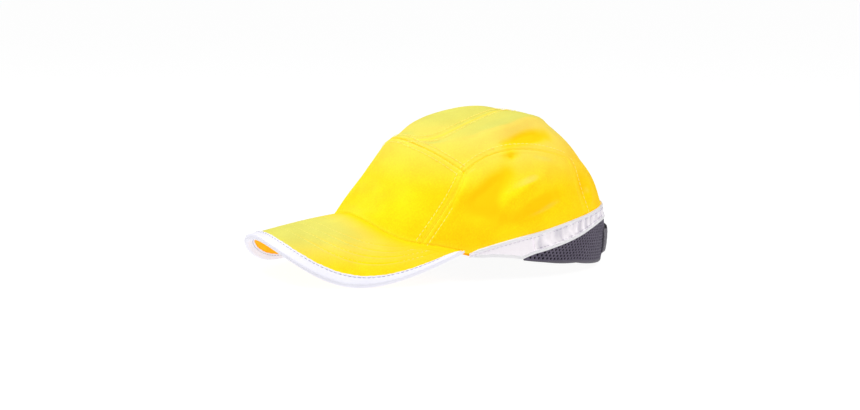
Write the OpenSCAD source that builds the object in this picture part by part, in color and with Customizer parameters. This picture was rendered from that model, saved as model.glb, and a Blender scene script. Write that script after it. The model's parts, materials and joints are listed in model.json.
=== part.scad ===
// Bump cap: a peaked fabric cap over a lift-out hard shell and foam liner.
// +Z is up, the peak points to -Y and the wearer's left is +X. The cap stands
// on a table at z = 0, on the two low points of its peak and on its rear hem.

/* [Crown] */
// Width across the crown at the base plane
crown_width = 185; // [176:1:196]
// Height of the apex above the table
crown_height = 115; // [108:1:124]
// How far the front would reach forward at the base plane
front_reach = 125; // [120:1:132]
// How far the back reaches at the base plane
back_reach = 88.5; // [84:0.5:96]
// Thickness of the lined crown cloth
cloth = 1; // [0.6:0.1:1.2]

/* [Peak] */
// How far the peak's tip stands forward of the origin
visor_tip = 184; // [176:1:196]
// Half width of the peak
visor_half_width = 84; // [80:0.5:86]
// Radius of the peak's arch where it leaves the crown
visor_arch = 97.5; // [92:0.5:110]
// Fall of the peak for each millimetre forward
visor_fall = 0.19; // [0.1:0.01:0.3]
// Thickness of the stiff board inside the peak
board = 1.5; // [1:0.1:2]
// Width of the binding round the peak
binding_width = 9; // [6:0.5:11]

/* [Rear strap] */
// Height of the strap
strap_height = 19; // [14:1:22]
// Angle from the back centre to the strap's sewn end
strap_end = 42; // [36:1:48]
// Angle the loose end passes the back centre
strap_overlap = 26; // [10:1:32]

/* [Shell and liner] */
// Wall of the hard shell
shell_wall = 2.2; // [1.6:0.1:2.4]
// Thickness of the foam pads
pad_thickness = 3; // [2:0.5:4]
// Diameter of the shell's air holes
vent_diameter = 9; // [5:0.5:12]

/* [Hidden] */

yellow = "#fde825";
gold = "#f2b60c";
silver = "#e4e4ea";
slate = "#5d5968";
black = "#2c2c30";
foam = "#45474c";
shell_white = "#e8e8e2";

// Reach of the crown from the base plane (first) to the apex (last).
crown_side = crown_width / 2 * [1, 1.02, 1.13, 1.25];
crown_front = front_reach * [1, 1.16, 0.63, 0.64, 1.22, 0.97];
crown_back = back_reach * [1, 1.29, 0.95, 1.32];
// Length on the cloth of one unit of the crown map.
map_length = crown_height * PI / 2;

hem_height = 4;
// How far the piping along the tape stands out.
piping = 1;
// The crown's centre stands this far behind the middle of the whole cap.
crown_y = 43.7;
// Peak: height of its crest at the crown and the thickness of its two cloths.
visor_rise = 45.3;
visor_cloth = 0.7;
// The binding lies between these distances outside the peak's two faces.
edge_in = 0.25;
edge_out = 0.75;
// The peak's layers stop this far inside its outline, the binding outside it.
edge_gap = 0.7;
// Height of the rear strap's lower edge.
strap_low = 8;

// Layers below the crown's outer face.
seam_binding_out = cloth + 0.4;
seam_binding_in = cloth + 1;
band_out = 1.7;
band_in = 3.2;
shell_out = 3.6;
shell_in = shell_out + shell_wall;
liner_out = shell_in + 0.5;
liner_in = liner_out + 2;
pad_out = liner_in + 0.6;

// Seams on the crown map: x to the left, y to the back, the apex at 0 and the
// base plane at distance 1. Left half only.
front_top = [[0, -0.415], [0.22, -0.415], [0.43, -0.335]];
front_side = [[0.6, -0.6], [0.545, -0.45], [0.43, -0.335]];
top_side = [[0.43, -0.335], [0.385, -0.13], [0.46, 0.06], [0.425, 0.27]];
side_back = [[0.68, 0.37], [0.57, 0.24], [0.45, 0.32], [0.425, 0.27]];
centre_front = [[0, -0.415], [0.16, -0.25], [0, 0]];
centre_back = [[0, 0], [0, 0.765]];
visor_front = [[0, -0.762], [0.25, -0.762], [0.47, -0.72], [0.6, -0.6]];
visor_side = [[0.6, -0.6], [0.7, -0.515], [0.79, -0.4]];
tape_top_1 = [[0.79, -0.4], [0.83, -0.24], [0.822, -0.065]];
tape_top_2 = [[0.822, -0.065], [0.805, 0.17], [0.68, 0.37]];
tape_top_3 = [[0.68, 0.37], [0.5, 0.64], [0.25, 0.765], [0, 0.765]];
rim_front = [[0.803, -0.406], [0.86, -0.27], [0.902, -0.135]];
tape_low_1 = [[0.902, -0.135], [0.892, -0.06]];
tape_low_2 = [[0.892, -0.06], [0.875, 0.19], [0.745, 0.375]];
tape_low_3 = [[0.745, 0.375], [0.56, 0.64], [0.28, 0.83], [0, 0.83]];
rim_side = [[0.915, -0.125], [0.95, 0], [0.955, 0.15], [0.905, 0.31]];
rim_back = [[0.905, 0.31], [0.82, 0.69], [0.45, 1], [0, 1]];

// Point at s (0 to 1) on the smooth curve steered by the points c.
function bezier(c, s) =
  len(c) == 1 ? c[0]
  : bezier([for (i = [0:len(c) - 2]) c[i] * (1 - s) + c[i + 1] * s], s);

function samples(c, n) = [for (i = [0:n]) bezier(c, i / n)];
function reversed(l) = [for (i = [len(l) - 1:-1:0]) l[i]];
function tail(l) = [for (i = [1:len(l) - 1]) l[i]];
function mirrored(l) = [for (p = l) [-p.x, p.y]];
function joined(a, b) = concat(a, tail(b));
// The left half of a curve from the centre line, made whole.
function both_sides(half) = joined(reversed(mirrored(half)), half);
// The same for a left-half curve that runs from the side to the back centre.
function round_back(half) = joined(half, reversed(mirrored(half)));
// A curve moved towards the apex by a length on the cloth.
function raised(l, length) = [for (p = l) p * (1 - length / map_length / norm(p))];

// Place on the crown above a map point, at a depth below its outer face.
function crown_point(m, depth) =
  let (
    u = 1 - norm(m),
    turn = norm(m) == 0 ? 0 : atan2(m.x, -m.y),
    side = bezier(crown_side, u) - depth,
    along = bezier(m.y < 0 ? crown_front : crown_back, u) - depth
  )
  [
    cos(90 * u) * side * sin(turn),
    -cos(90 * u) * along * cos(turn),
    (crown_height - depth) * sin(90 * u)
  ];

// From the crown's own centre to the middle of the cap.
function placed(p) = p + [0, crown_y, 0];

// Map points of a patch between four sampled edges. low and high run the same
// way; start and end run from low to high.
function patch(low, high, start, end) =
  let (n = len(low) - 1, m = len(start) - 1)
  [for (j = [0:m]) [for (i = [0:n])
    let (a = i / n, b = j / m)
      low[i] * (1 - b) + high[i] * b + start[j] * (1 - a) + end[j] * a
      - (low[0] * (1 - a) + low[n] * a) * (1 - b)
      - (high[0] * (1 - a) + high[n] * a) * b
  ]];

// Map points of a strip between two curves of equal length.
function strip(low, high, rows) =
  [for (j = [0:rows]) low * (1 - j / rows) + high * (j / rows)];

// Indexes below n, from a third of the way along. A solid whose faces are listed
// from the mirror plane, or end with slivers, can come out inside out.
function from_third(n) = [for (i = [0:n - 1]) (i + floor(n / 3)) % n];

// Solid between an outer and an inner net of points.
module solid_between(outer, inner) {
  rows = len(outer);
  cols = len(outer[0]);
  points = [for (net = [outer, inner]) for (row = net) for (p = row) placed(p)];
  function at(net, j, i) = (net * rows + j) * cols + i;
  function wall(a, b, c, d) = [[a, b, c], [a, c, d]];
  faces = [
    for (i = [0:cols - 2])
      for (f = concat(
        wall(at(0, 0, i), at(0, 0, i + 1), at(1, 0, i + 1), at(1, 0, i)),
        wall(at(0, rows - 1, i + 1), at(0, rows - 1, i),
          at(1, rows - 1, i), at(1, rows - 1, i + 1))
      )) f,
    for (j = [0:rows - 2])
      for (f = concat(
        wall(at(0, j + 1, 0), at(0, j, 0), at(1, j, 0), at(1, j + 1, 0)),
        wall(at(0, j, cols - 1), at(0, j + 1, cols - 1),
          at(1, j + 1, cols - 1), at(1, j, cols - 1))
      )) f,
    for (j = [0:rows - 2]) for (i = from_third(cols - 1))
      for (f = concat(
        wall(at(0, j, i), at(0, j + 1, i), at(0, j + 1, i + 1), at(0, j, i + 1)),
        wall(at(1, j, i), at(1, j, i + 1), at(1, j + 1, i + 1), at(1, j + 1, i))
      )) f
  ];
  polyhedron(points, faces);
}

// Cloth that follows the crown between two depths over a net of map points.
module crown_sheet(net, depth_out, depth_in) {
  solid_between(
    [for (row = net) [for (m = row) crown_point(m, depth_out)]],
    [for (row = net) [for (m = row) crown_point(m, depth_in)]]
  );
}

// Strip of cloth along an edge, between two lengths above it.
module edge_strip(edge, from, to, rows, depth_out, depth_in) {
  crown_sheet(strip(raised(edge, from), raised(edge, to), rows), depth_out, depth_in);
}

module front_panel() {
  color(yellow)
    crown_sheet(
      patch(
        both_sides(samples(visor_front, 8)),
        both_sides(samples(front_top, 8)),
        mirrored(samples(front_side, 6)),
        samples(front_side, 6)
      ),
      0, cloth
    );
}

function centre_line() = joined(samples(centre_front, 6), samples(centre_back, 10));
function side_outline() = joined(samples(top_side, 9), reversed(samples(side_back, 7)));

module top_panel(left) {
  side = left ? side_outline() : mirrored(side_outline());
  front = samples(front_top, 8);
  back = reversed(samples(tape_top_3, 8));
  start = reversed(left ? front : mirrored(front));
  end = reversed(left ? back : mirrored(back));
  color(yellow)
    if (left)
      crown_sheet(patch(side, centre_line(), start, end), 0, cloth);
    else
      crown_sheet(patch(reversed(side), reversed(centre_line()), end, start), 0, cloth);
}

module side_panel_left() {
  low = joined(samples(visor_side, 3),
    joined(samples(tape_top_1, 7), samples(tape_top_2, 7)));
  color(yellow)
    crown_sheet(
      patch(low, samples(top_side, 17), samples(front_side, 6), samples(side_back, 6)),
      0, cloth
    );
}

module front_seam_binding() {
  edge = both_sides(samples(front_top, 7));
  color(yellow)
    crown_sheet(strip(raised(edge, -5), raised(edge, 5), 1), seam_binding_out, seam_binding_in);
}

module centre_seam_binding() {
  line = centre_line();
  net = [
    [for (i = [3:len(line) - 1]) line[i] + [0.03, 0]],
    [for (i = [3:len(line) - 1]) line[i] - [0.03, 0]]
  ];
  color(yellow) crown_sheet(net, seam_binding_out, seam_binding_in);
}

module side_seam_binding_left() {
  line = samples(top_side, 10);
  inner = [for (i = [1:10]) line[i] - [0.028, 0]];
  outer = [for (i = [1:10]) line[i] + [0.028, 0]];
  color(yellow) crown_sheet([outer, inner], seam_binding_out, seam_binding_in);
}

module tape_left() {
  color(silver)
    crown_sheet(
      strip(joined(samples(rim_front, 5), samples(tape_low_1, 2)), samples(tape_top_1, 7), 2),
      0, cloth
    );
}

module tape_back() {
  low = joined(samples(tape_low_2, 7), samples(tape_low_3, 8));
  top = joined(samples(tape_top_2, 7), samples(tape_top_3, 8));
  color(silver)
    crown_sheet(
      strip(round_back(low), round_back(top), 2), 0, cloth
    );
}

module tape_top_piping() {
  top = joined(samples(tape_top_1, 6), joined(samples(tape_top_2, 6), samples(tape_top_3, 8)));
  color(silver) edge_strip(round_back(top), -1, 1, 1, -piping, -0.15);
}

module tape_bottom_piping() {
  low = joined(samples(tape_low_2, 7), samples(tape_low_3, 8));
  color(silver) edge_strip(round_back(low), -1, 1, 1, -piping, -0.15);
}

function rear_rim() = joined(samples(rim_side, 7), samples(rim_back, 8));
// The hem narrows to nothing where it meets the tape.
function hem_top() =
  let (rim = rear_rim())
  [for (i = [0:len(rim) - 1]) raised([rim[i]], hem_height * min(1, 0.15 + i / 5))[0]];
function tape_bottom() =
  joined(samples(tape_low_1, 1), joined(samples(tape_low_2, 6), samples(tape_low_3, 8)));

module rear_mesh() {
  color(slate)
    crown_sheet(strip(round_back(hem_top()), round_back(tape_bottom()), 4), 0, cloth);
}

module rear_hem() {
  color(slate)
    crown_sheet(strip(round_back(rear_rim()), round_back(hem_top()), 1), -0.2, cloth + 0.4);
}

module sweatband() {
  half = joined(samples(visor_front, 6),
    joined(samples(visor_side, 2), joined(samples(rim_front, 3), samples(rim_side, 5))));
  color(black) edge_strip(both_sides(half), 1.5, 24, 3, band_out, band_in);
}

// Height of the peak's upper face above the table.
function visor_height(x, y) =
  let (forward = -113.4 - y, arch = visor_arch - 0.575 * forward)
  visor_rise - visor_fall * forward - arch + sqrt(arch * arch - x * x);

function visor_normal(x, y) =
  let (n = [
    visor_height(x - 0.5, y) - visor_height(x + 0.5, y),
    visor_height(x, y - 0.5) - visor_height(x, y + 0.5),
    1
  ])
  n / norm(n);

// Outline of the peak: v runs from -1 at its right corner to 1 at its left.
function visor_outline(v) =
  let (back = -57, round = 2 / 2.34)
  [
    visor_half_width * sign(v) * pow(abs(sin(90 * v)), round),
    back - (visor_tip + back) * pow(cos(90 * v), round)
  ];

// Point of the peak: s runs from 0 at the crown seam to 1 at the outline.
function visor_point(v, s, depth, seam) =
  let (
    root = crown_point(seam, -0.3),
    edge = visor_outline(v),
    x = root.x * (1 - s) + edge.x * s,
    y = root.y * (1 - s) + edge.y * s,
    settle = (root.z - visor_height(root.x, root.y)) * pow(1 - s, 2)
  )
  [x, y, visor_height(x, y) + settle] - depth * visor_normal(x, y);

function visor_seam() =
  both_sides(joined(samples(visor_front, 11), samples(visor_side, 5)));

// Share of the way from seam to outline that is a given length short of it.
function visor_share(v, seam, short) =
  let (length = norm(visor_point(v, 1, 0, seam) - visor_point(v, 0, 0, seam)))
  max(0.2, 1 - short / length);

module visor_layer(depth_out, depth_in) {
  seam = visor_seam();
  n = len(seam) - 1;
  function net(depth) = [for (j = [6:-1:0]) [for (i = [0:n])
    let (v = 2 * i / n - 1, stop = visor_share(v, seam[i], edge_gap))
      visor_point(v, stop * j / 6, depth, seam[i])]];
  solid_between(net(depth_out), net(depth_in));
}

module visor_board() {
  color("#f2f2ee") visor_layer(visor_cloth, visor_cloth + board);
}

module visor_top_cloth() {
  color(yellow) visor_layer(0, visor_cloth);
}

module visor_under_cloth() {
  color(gold) visor_layer(visor_cloth + board, 2 * visor_cloth + board);
}

module visor_edge_binding() {
  seam = visor_seam();
  n = len(seam) - 1;
  thick = 2 * visor_cloth + board;
  function ring(i) =
    let (
      v = 2 * i / n - 1,
      inner = visor_share(v, seam[i], binding_width),
      gap = visor_share(v, seam[i], edge_gap),
      outer = visor_share(v, seam[i], -edge_gap)
    )
    [for (c = [
      [inner, -edge_out], [outer, -edge_out],
      [outer, thick + edge_out], [inner, thick + edge_out],
      [inner, thick + edge_in], [gap, thick + edge_in], [gap, -edge_in], [inner, -edge_in]
    ]) visor_point(v, c[0], c[1], seam[i])];
  rings = [for (i = [0:n]) ring(i)];
  points = [for (r = rings) for (p = r) placed(p)];
  faces = [
    for (i = from_third(n)) for (k = [0:7])
      for (f = [
        [i * 8 + k, (i + 1) * 8 + (k + 1) % 8, i * 8 + (k + 1) % 8],
        [i * 8 + k, (i + 1) * 8 + k, (i + 1) * 8 + (k + 1) % 8]
      ]) f,
    for (f = [[0, 6, 7], [0, 1, 6], [1, 5, 6], [1, 2, 5], [2, 4, 5], [2, 3, 4]]) f,
    for (f = [[0, 7, 6], [0, 6, 1], [1, 6, 5], [1, 5, 2], [2, 5, 4], [2, 4, 3]])
      [n * 8 + f[0], n * 8 + f[1], n * 8 + f[2]]
  ];
  color(silver) polyhedron(points, faces);
}

// Level arc round the back: angles are measured from the back centre.
function back_arc(height, from, to, n) =
  let (reach = 1 - asin(height / crown_height) / 90)
  [for (i = [0:n])
    let (turn = from + (to - from) * i / n) reach * [-sin(turn), cos(turn)]];

module strap_strip(from, to, low, high, depth_out, depth_in) {
  n = ceil(abs(to - from) / 6);
  crown_sheet(
    strip(back_arc(low, from, to, n), back_arc(high, from, to, n), 2), depth_out, depth_in
  );
}

module loop_strap() {
  color(slate)
    strap_strip(4 - strap_end, strap_end, strap_low, strap_low + strap_height, -1.5, -0.3);
}

module hook_strap() {
  color(slate)
    strap_strip(-strap_end, strap_overlap, strap_low, strap_low + strap_height, -3.6, -2.6);
}

module hook_patch() {
  color(black)
    strap_strip(5, strap_overlap - 1, strap_low + 1.5, strap_low + strap_height - 1.5,
      -2.4, -1.9);
}

// Rim of the shell and the liner on the crown map.
function insert_rim(turn, share) =
  share * [0.8 * sin(turn), -(cos(turn) > 0 ? 0.7 : 0.73) * cos(turn)];

// Closed bowl that follows the crown from a rim up over the apex.
module bowl(share, depth_out, depth_in, count, rings) {
  function point(j, i, depth) =
    crown_point(insert_rim(360 * i / count, share * (1 - j / rings)), depth);
  points = concat(
    [for (depth = [depth_out, depth_in]) for (j = [0:rings - 1]) for (i = [0:count - 1])
      point(j, i, depth)],
    [crown_point([0, 0], depth_out), crown_point([0, 0], depth_in)]
  );
  function at(net, j, i) = (net * rings + j) * count + i % count;
  top = 2 * rings * count;
  faces = [
    for (i = [0:count - 1]) for (f = [
      for (j = [0:rings - 2]) for (g = [
        [at(0, j, i), at(0, j + 1, i), at(0, j + 1, i + 1)],
        [at(0, j, i), at(0, j + 1, i + 1), at(0, j, i + 1)],
        [at(1, j, i), at(1, j + 1, i + 1), at(1, j + 1, i)],
        [at(1, j, i), at(1, j, i + 1), at(1, j + 1, i + 1)]
      ]) g,
      [at(0, rings - 1, i), top, at(0, rings - 1, i + 1)],
      [at(1, rings - 1, i), at(1, rings - 1, i + 1), top + 1],
      [at(0, 0, i), at(0, 0, i + 1), at(1, 0, i + 1)],
      [at(0, 0, i), at(1, 0, i + 1), at(1, 0, i)]
    ]) f
  ];
  polyhedron([for (p = points) placed(p)], faces);
}

// Round holes bored towards the middle of the head, on one ring of the crown.
module vent_ring(reach, diameter, count, first) {
  for (i = [0:count - 1]) {
    p = crown_point(insert_rim(first + 360 * i / count, reach), shell_out);
    translate(placed(p))
      rotate([0, atan2(norm([p.x, p.y]), p.z - 20), atan2(p.y, p.x)])
        cylinder(d = diameter, h = 24, center = true, $fn = 20);
  }
}

module hard_shell() {
  color(shell_white)
    difference() {
      bowl(1, shell_out, shell_in, 48, 8);
      vent_ring(0.78, vent_diameter, 12, 15);
      vent_ring(0.42, vent_diameter, 6, 30);
    }
}

module foam_liner() {
  color(foam)
    difference() {
      bowl(0.95, liner_out, liner_in, 48, 8);
      vent_ring(0.56, 2 * vent_diameter, 8, 22.5);
    }
}

module pad(from, to, low, high) {
  n = 8;
  function arc(reach) = [for (i = [0:n])
    let (turn = from + (to - from) * i / n) reach * [sin(turn), -cos(turn)]];
  color(foam)
    crown_sheet(strip(arc(low), arc(high), 3), pad_out, pad_out + pad_thickness);
}

module crown_pad() {
  color(foam) bowl(0.3, pad_out, pad_out + pad_thickness, 24, 3);
}

module side_pad_left() {
  pad(66, 114, 0.7, 0.5);
}

front_panel();
top_panel(true);  // top_panel_left
top_panel(false);  // top_panel_right
side_panel_left();
mirror([1, 0, 0]) side_panel_left();  // side_panel_right
front_seam_binding();
centre_seam_binding();
side_seam_binding_left();
mirror([1, 0, 0]) side_seam_binding_left();  // side_seam_binding_right
tape_left();
mirror([1, 0, 0]) tape_left();  // tape_right
tape_back();
tape_top_piping();
tape_bottom_piping();
rear_mesh();
rear_hem();
sweatband();
visor_board();
visor_top_cloth();
visor_under_cloth();
visor_edge_binding();
loop_strap();
hook_strap();
hook_patch();
hard_shell();
foam_liner();
crown_pad();
pad(-32, 32, 0.62, 0.42);  // front_pad
pad(148, 212, 0.64, 0.42);  // rear_pad
side_pad_left();
mirror([1, 0, 0]) side_pad_left();  // side_pad_right
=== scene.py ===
"""Looks of a bump cap: a peaked fabric cap over a lift-out hard shell and a foam liner.

The row frame has +Z up, the peak towards -Y and the wearer's left at +X. Shapes are worked out in
millimetres on the "crown map": x runs to the wearer's left and y to the back, the apex of the crown
is at 0 and its base plane at distance 1. Meshes are written in metres.
"""
import json
import math

import bmesh
import bpy
import numpy as np
from mathutils import Matrix, Vector, noise


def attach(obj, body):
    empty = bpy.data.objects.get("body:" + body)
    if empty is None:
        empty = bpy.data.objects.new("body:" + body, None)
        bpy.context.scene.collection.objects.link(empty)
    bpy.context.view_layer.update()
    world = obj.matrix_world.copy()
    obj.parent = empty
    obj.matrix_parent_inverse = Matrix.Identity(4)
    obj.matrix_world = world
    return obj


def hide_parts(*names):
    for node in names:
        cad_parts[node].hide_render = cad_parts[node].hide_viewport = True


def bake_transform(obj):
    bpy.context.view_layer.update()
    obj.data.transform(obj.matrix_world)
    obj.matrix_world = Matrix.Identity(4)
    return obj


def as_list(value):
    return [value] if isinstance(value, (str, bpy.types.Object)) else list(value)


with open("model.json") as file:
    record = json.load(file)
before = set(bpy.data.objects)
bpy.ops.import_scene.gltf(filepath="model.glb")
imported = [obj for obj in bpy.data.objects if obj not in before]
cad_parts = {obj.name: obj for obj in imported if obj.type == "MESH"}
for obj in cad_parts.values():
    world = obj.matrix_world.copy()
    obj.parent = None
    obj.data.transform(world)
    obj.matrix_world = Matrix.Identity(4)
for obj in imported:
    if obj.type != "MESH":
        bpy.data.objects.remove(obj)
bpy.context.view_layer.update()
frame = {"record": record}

MM = 0.001

# ---------------------------------------------------------------- sizes in mm, as in part.scad
CROWN_HEIGHT = 115
CROWN_Y = 43.7
CROWN_SIDE = 92.5 * np.array([1, 1.02, 1.13, 1.25])
CROWN_FRONT = 125 * np.array([1, 1.16, 0.63, 0.64, 1.22, 0.97])
CROWN_BACK = 88.5 * np.array([1, 1.29, 0.95, 1.32])
MAP_LENGTH = CROWN_HEIGHT * math.pi / 2

CLOTH = 1.0
BAND_OUT, BAND_IN = 1.7, 3.2
SHELL_OUT, SHELL_IN = 3.6, 5.8
LINER_OUT, LINER_IN = 6.3, 8.3
PAD_OUT, PAD_IN = 8.9, 11.9

VISOR_TIP = 184
VISOR_HALF_WIDTH = 84
VISOR_BACK = -57
VISOR_FRONT = -113.4
VISOR_RISE = 45.3
VISOR_FALL = 0.19
VISOR_ARCH = 97.5
VISOR_ARCH_SHRINK = 0.575
VISOR_CLOTH = 0.7
BOARD = 1.5
PEAK_THICK = 2 * VISOR_CLOTH + BOARD
BINDING_TOP = 7.6
BINDING_UNDER = 6
BINDING_STITCH = 1.4

STRAP_LOW, STRAP_HIGH = 8, 25
HEM_HEIGHT = 2.2


def curve(*points):
    return np.array(points, float)


# Seams on the crown map, left half
FRONT_TOP = curve((0, -0.415), (0.22, -0.415), (0.43, -0.335))
FRONT_SIDE = curve((0.6, -0.6), (0.545, -0.45), (0.43, -0.335))
TOP_SIDE = curve((0.43, -0.335), (0.385, -0.13), (0.46, 0.06), (0.425, 0.27))
SIDE_BACK = curve((0.68, 0.37), (0.57, 0.24), (0.45, 0.32), (0.425, 0.27))
CENTRE_FRONT = curve((0, -0.415), (0.24, -0.37), (0.2, -0.1), (0, 0.04), (0, 0.16))
CENTRE_BACK = curve((0, 0.16), (0, 0.765))
VISOR_SEAM_FRONT = curve((0, -0.762), (0.25, -0.762), (0.47, -0.72), (0.6, -0.6))
VISOR_SEAM_SIDE = curve((0.6, -0.6), (0.7, -0.515), (0.79, -0.4))
TAPE_TOP_1 = curve((0.79, -0.4), (0.83, -0.24), (0.822, -0.065))
TAPE_TOP_2 = curve((0.822, -0.065), (0.805, 0.17), (0.68, 0.37))
TAPE_TOP_3 = curve((0.68, 0.37), (0.5, 0.64), (0.25, 0.765), (0, 0.765))
RIM_FRONT = curve((0.803, -0.406), (0.86, -0.27), (0.902, -0.135))
TAPE_LOW_1 = curve((0.902, -0.135), (0.892, -0.06))
TAPE_LOW_2 = curve((0.892, -0.06), (0.875, 0.19), (0.745, 0.375))
TAPE_LOW_3 = curve((0.745, 0.375), (0.56, 0.64), (0.28, 0.83), (0, 0.83))
RIM_SIDE = curve((0.915, -0.125), (0.95, 0), (0.955, 0.15), (0.905, 0.31))
RIM_BACK = curve((0.905, 0.31), (0.82, 0.69), (0.45, 1), (0, 1))

# Soft folds of the crown cloth: start and end on the map, half width in mm, and
# how far the cloth stands out (negative: falls in) in mm
FOLDS = [
    ((0.31, -0.18), (0.29, -0.04), 7, 2.8),
    ((0.29, -0.04), (0.198, 0.2), 7, 3.6),
    ((0.385, -0.07), (0.325, 0.17), 7, -3.4),
    ((0.445, -0.11), (0.45, -0.06), 5, -2),
    ((0.46, -0.31), (0.58, -0.46), 7, 2),
    ((0.62, -0.33), (0.54, -0.15), 9, -4),
    ((0.58, -0.33), (0.72, -0.22), 8, -3.4),
    ((0.665, -0.16), (0.6, 0.05), 8, 5.6),
    ((0.73, -0.14), (0.655, 0.12), 7, -4.2),
    ((0.8, -0.12), (0.69, 0.21), 9, 2.8),
    ((0.52, -0.02), (0.54, 0.2), 9, 2.6),
    ((0.49, 0.36), (0.62, 0.33), 6, -2.8),
    ((0.62, 0.37), (0.54, 0.43), 8, 3),
    ((-0.36, -0.16), (-0.3, 0.16), 8, -3),
    ((-0.29, -0.1), (-0.22, 0.2), 8, 2.6),
    ((-0.6, -0.3), (-0.62, 0.1), 8, 3.4),
    ((-0.69, -0.2), (-0.66, 0.2), 8, -3),
    ((0.1, 0.45), (0.42, 0.5), 9, -2),
    ((-0.42, 0.42), (-0.12, 0.6), 9, -2),
]

# The crown falls in along the front half of its centre seam: how far and how wide, in mm
VALLEY_DEPTH, VALLEY_WIDTH = 3.6, 12.0
VALLEY_POINTS = 50

# How the whole crown stands off its plain form: centre on the map, half width in mm, height in mm
SWELLS = [((0.21, 0.17), 26, 2.6), ((0.0, -0.14), 22, -1.6)]


# ---------------------------------------------------------------- curves and nets of points
def bezier(control, s):
    """Point at s on the smooth curve steered by the control points or numbers."""
    s = np.asarray(s, float)
    if np.ndim(control[0]):
        s = s[..., None]
    points = list(control)
    while len(points) > 1:
        points = [a * (1 - s) + b * s for a, b in zip(points, points[1:])]
    return points[0]


def smooth(x, low, high):
    """0 below low, 1 above high, and a smooth step between."""
    t = np.clip((x - low) / (high - low), 0, 1)
    return t * t * (3 - 2 * t)


def hump(distance, width):
    """1 at distance 0, falling smoothly to nothing well past that width."""
    return np.exp(-((distance / width) ** 2))


def unit(vectors):
    return vectors / np.linalg.norm(vectors, axis=-1, keepdims=True)


def run_of(points):
    """Length along a line of points, up to each of them."""
    return np.pad(np.cumsum(np.linalg.norm(np.diff(points, axis=0), axis=1)), (1, 0))


def edge(*parts):
    """An edge on the map from parts, each (control points, share of the edge)."""
    def at(t):
        t = np.asarray(t, float)
        out = np.zeros(t.shape + (2,))
        start = 0.0
        for control, share in parts:
            here = t >= start - 1e-9
            out[here] = bezier(control, np.clip((t[here] - start) / share, 0, 1))
            start += share
        return out
    return at


def backwards(line):
    return lambda t: line(1 - np.asarray(t, float))


def mirrored(line):
    return lambda t: line(t) * [-1, 1]


def on_side(side, *lines):
    """Edges of the left side, mirrored where the side is the right one."""
    return lines if side == "left" else [mirrored(line) for line in lines]


def signed(m, side):
    """Map points of the left half, taken to the right where side is -1."""
    return m * np.stack([side, np.ones_like(side)], -1)


def both_sides(half):
    """The left half of an edge, from the centre line, made whole from right to left."""
    def at(t):
        t = np.asarray(t, float)
        return signed(half(np.abs(2 * t - 1)), np.where(t < 0.5, -1, 1))
    return at


def round_the_back(half):
    """A left-half edge that runs from the side to the back centre, made whole."""
    return mirrored(both_sides(backwards(half)))


def valley(m):
    """How far the cloth falls in, in mm, along the front half of the centre seam."""
    t = np.linspace(0, 1, VALLEY_POINTS)
    away = np.linalg.norm(m[..., None, :] - bezier(CENTRE_FRONT, t), axis=-1) * MAP_LENGTH
    nearest = away.argmin(-1)
    return VALLEY_DEPTH * np.sin(np.pi * t[nearest]) * hump(away.min(-1), VALLEY_WIDTH)


def swell(m):
    """How far the whole crown stands off its plain form, in mm."""
    return sum(
        height * hump(np.linalg.norm(m - centre, axis=-1) * MAP_LENGTH, width)
        for centre, width, height in SWELLS
    )


def crown(m, depth=0.0):
    """Place in mm on the crown above map points, at a depth below its outer face."""
    depth = depth + valley(m) - swell(m)
    reach = np.hypot(m[..., 0], m[..., 1])
    u = 1 - reach
    safe = np.maximum(reach, 1e-9)
    side = bezier(CROWN_SIDE, u) - depth
    along = np.where(m[..., 1] < 0, bezier(CROWN_FRONT, u), bezier(CROWN_BACK, u)) - depth
    level = np.cos(np.radians(90 * u))
    return np.stack([
        level * side * m[..., 0] / safe,
        level * along * m[..., 1] / safe + CROWN_Y,
        (CROWN_HEIGHT - depth) * np.sin(np.radians(90 * u)),
    ], -1)


def raised(m, length):
    """Map points moved towards the apex by a length in mm on the cloth."""
    reach = np.linalg.norm(m, axis=-1, keepdims=True)
    return m * (1 - np.asarray(length)[..., None] / MAP_LENGTH / reach)


def strip(low, high, a, b):
    """Map points of a strip from the low edge to the high one: a along them, b across."""
    up = b[:, None, None]
    return low(a)[None] * (1 - up) + high(a)[None] * up


def patch(low, high, start, end, a, b):
    """Map points of a patch between four edges: low and high run the same way at
    a, start and end run from low to high at b."""
    across = a[None, :, None]
    ends = np.array([0.0, 1.0])
    corners = strip(low, high, ends, b)
    return (
        strip(low, high, a, b)
        + (start(b)[:, None] - corners[:, :1]) * (1 - across)
        + (end(b)[:, None] - corners[:, 1:]) * across
    )


# Steps of a panel's net in mm: fine near the seams, growing by a share of the way past the fine zone
FINE_STEP, COARSE_STEP = 0.45, 2.4
FINE_ZONE, STEP_GROWTH = 5.5, 0.3


def graded(length):
    """Parameters along an edge of that length, close together near both ends."""
    steps = [0.0]
    while steps[-1] < length / 2:
        wider = FINE_STEP + max(0, steps[-1] - FINE_ZONE) * STEP_GROWTH
        steps.append(steps[-1] + min(COARSE_STEP, wider))
    half = np.array(steps[:-1]) / length
    return np.concatenate([half, 1 - half[::-1]])


def edge_distances(net):
    """Distance in mm along the net's lines from its low, high, start and end edges."""
    along = np.linalg.norm(np.diff(net, axis=1), axis=2)
    across = np.linalg.norm(np.diff(net, axis=0), axis=2)
    start = np.pad(np.cumsum(along, 1), ((0, 0), (1, 0)))
    low = np.pad(np.cumsum(across, 0), ((1, 0), (0, 0)))
    return low, low[-1:] - low, start, start[:, -1:] - start


# Ripples of a sewn edge: height, length in mm for a turn of one radian, and how much phase shifts it
RIPPLES = ((0.5, 1.15, 1), (0.4, 0.73, 2.3), (0.5, 2.9, 1.7))


def wobble(s, phase):
    """Uneven ripple of about unit height along a length s in mm."""
    return sum(height * np.sin(s / length + shift * phase) for height, length, shift in RIPPLES)


NOISE_SHIFT = 7.31


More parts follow.
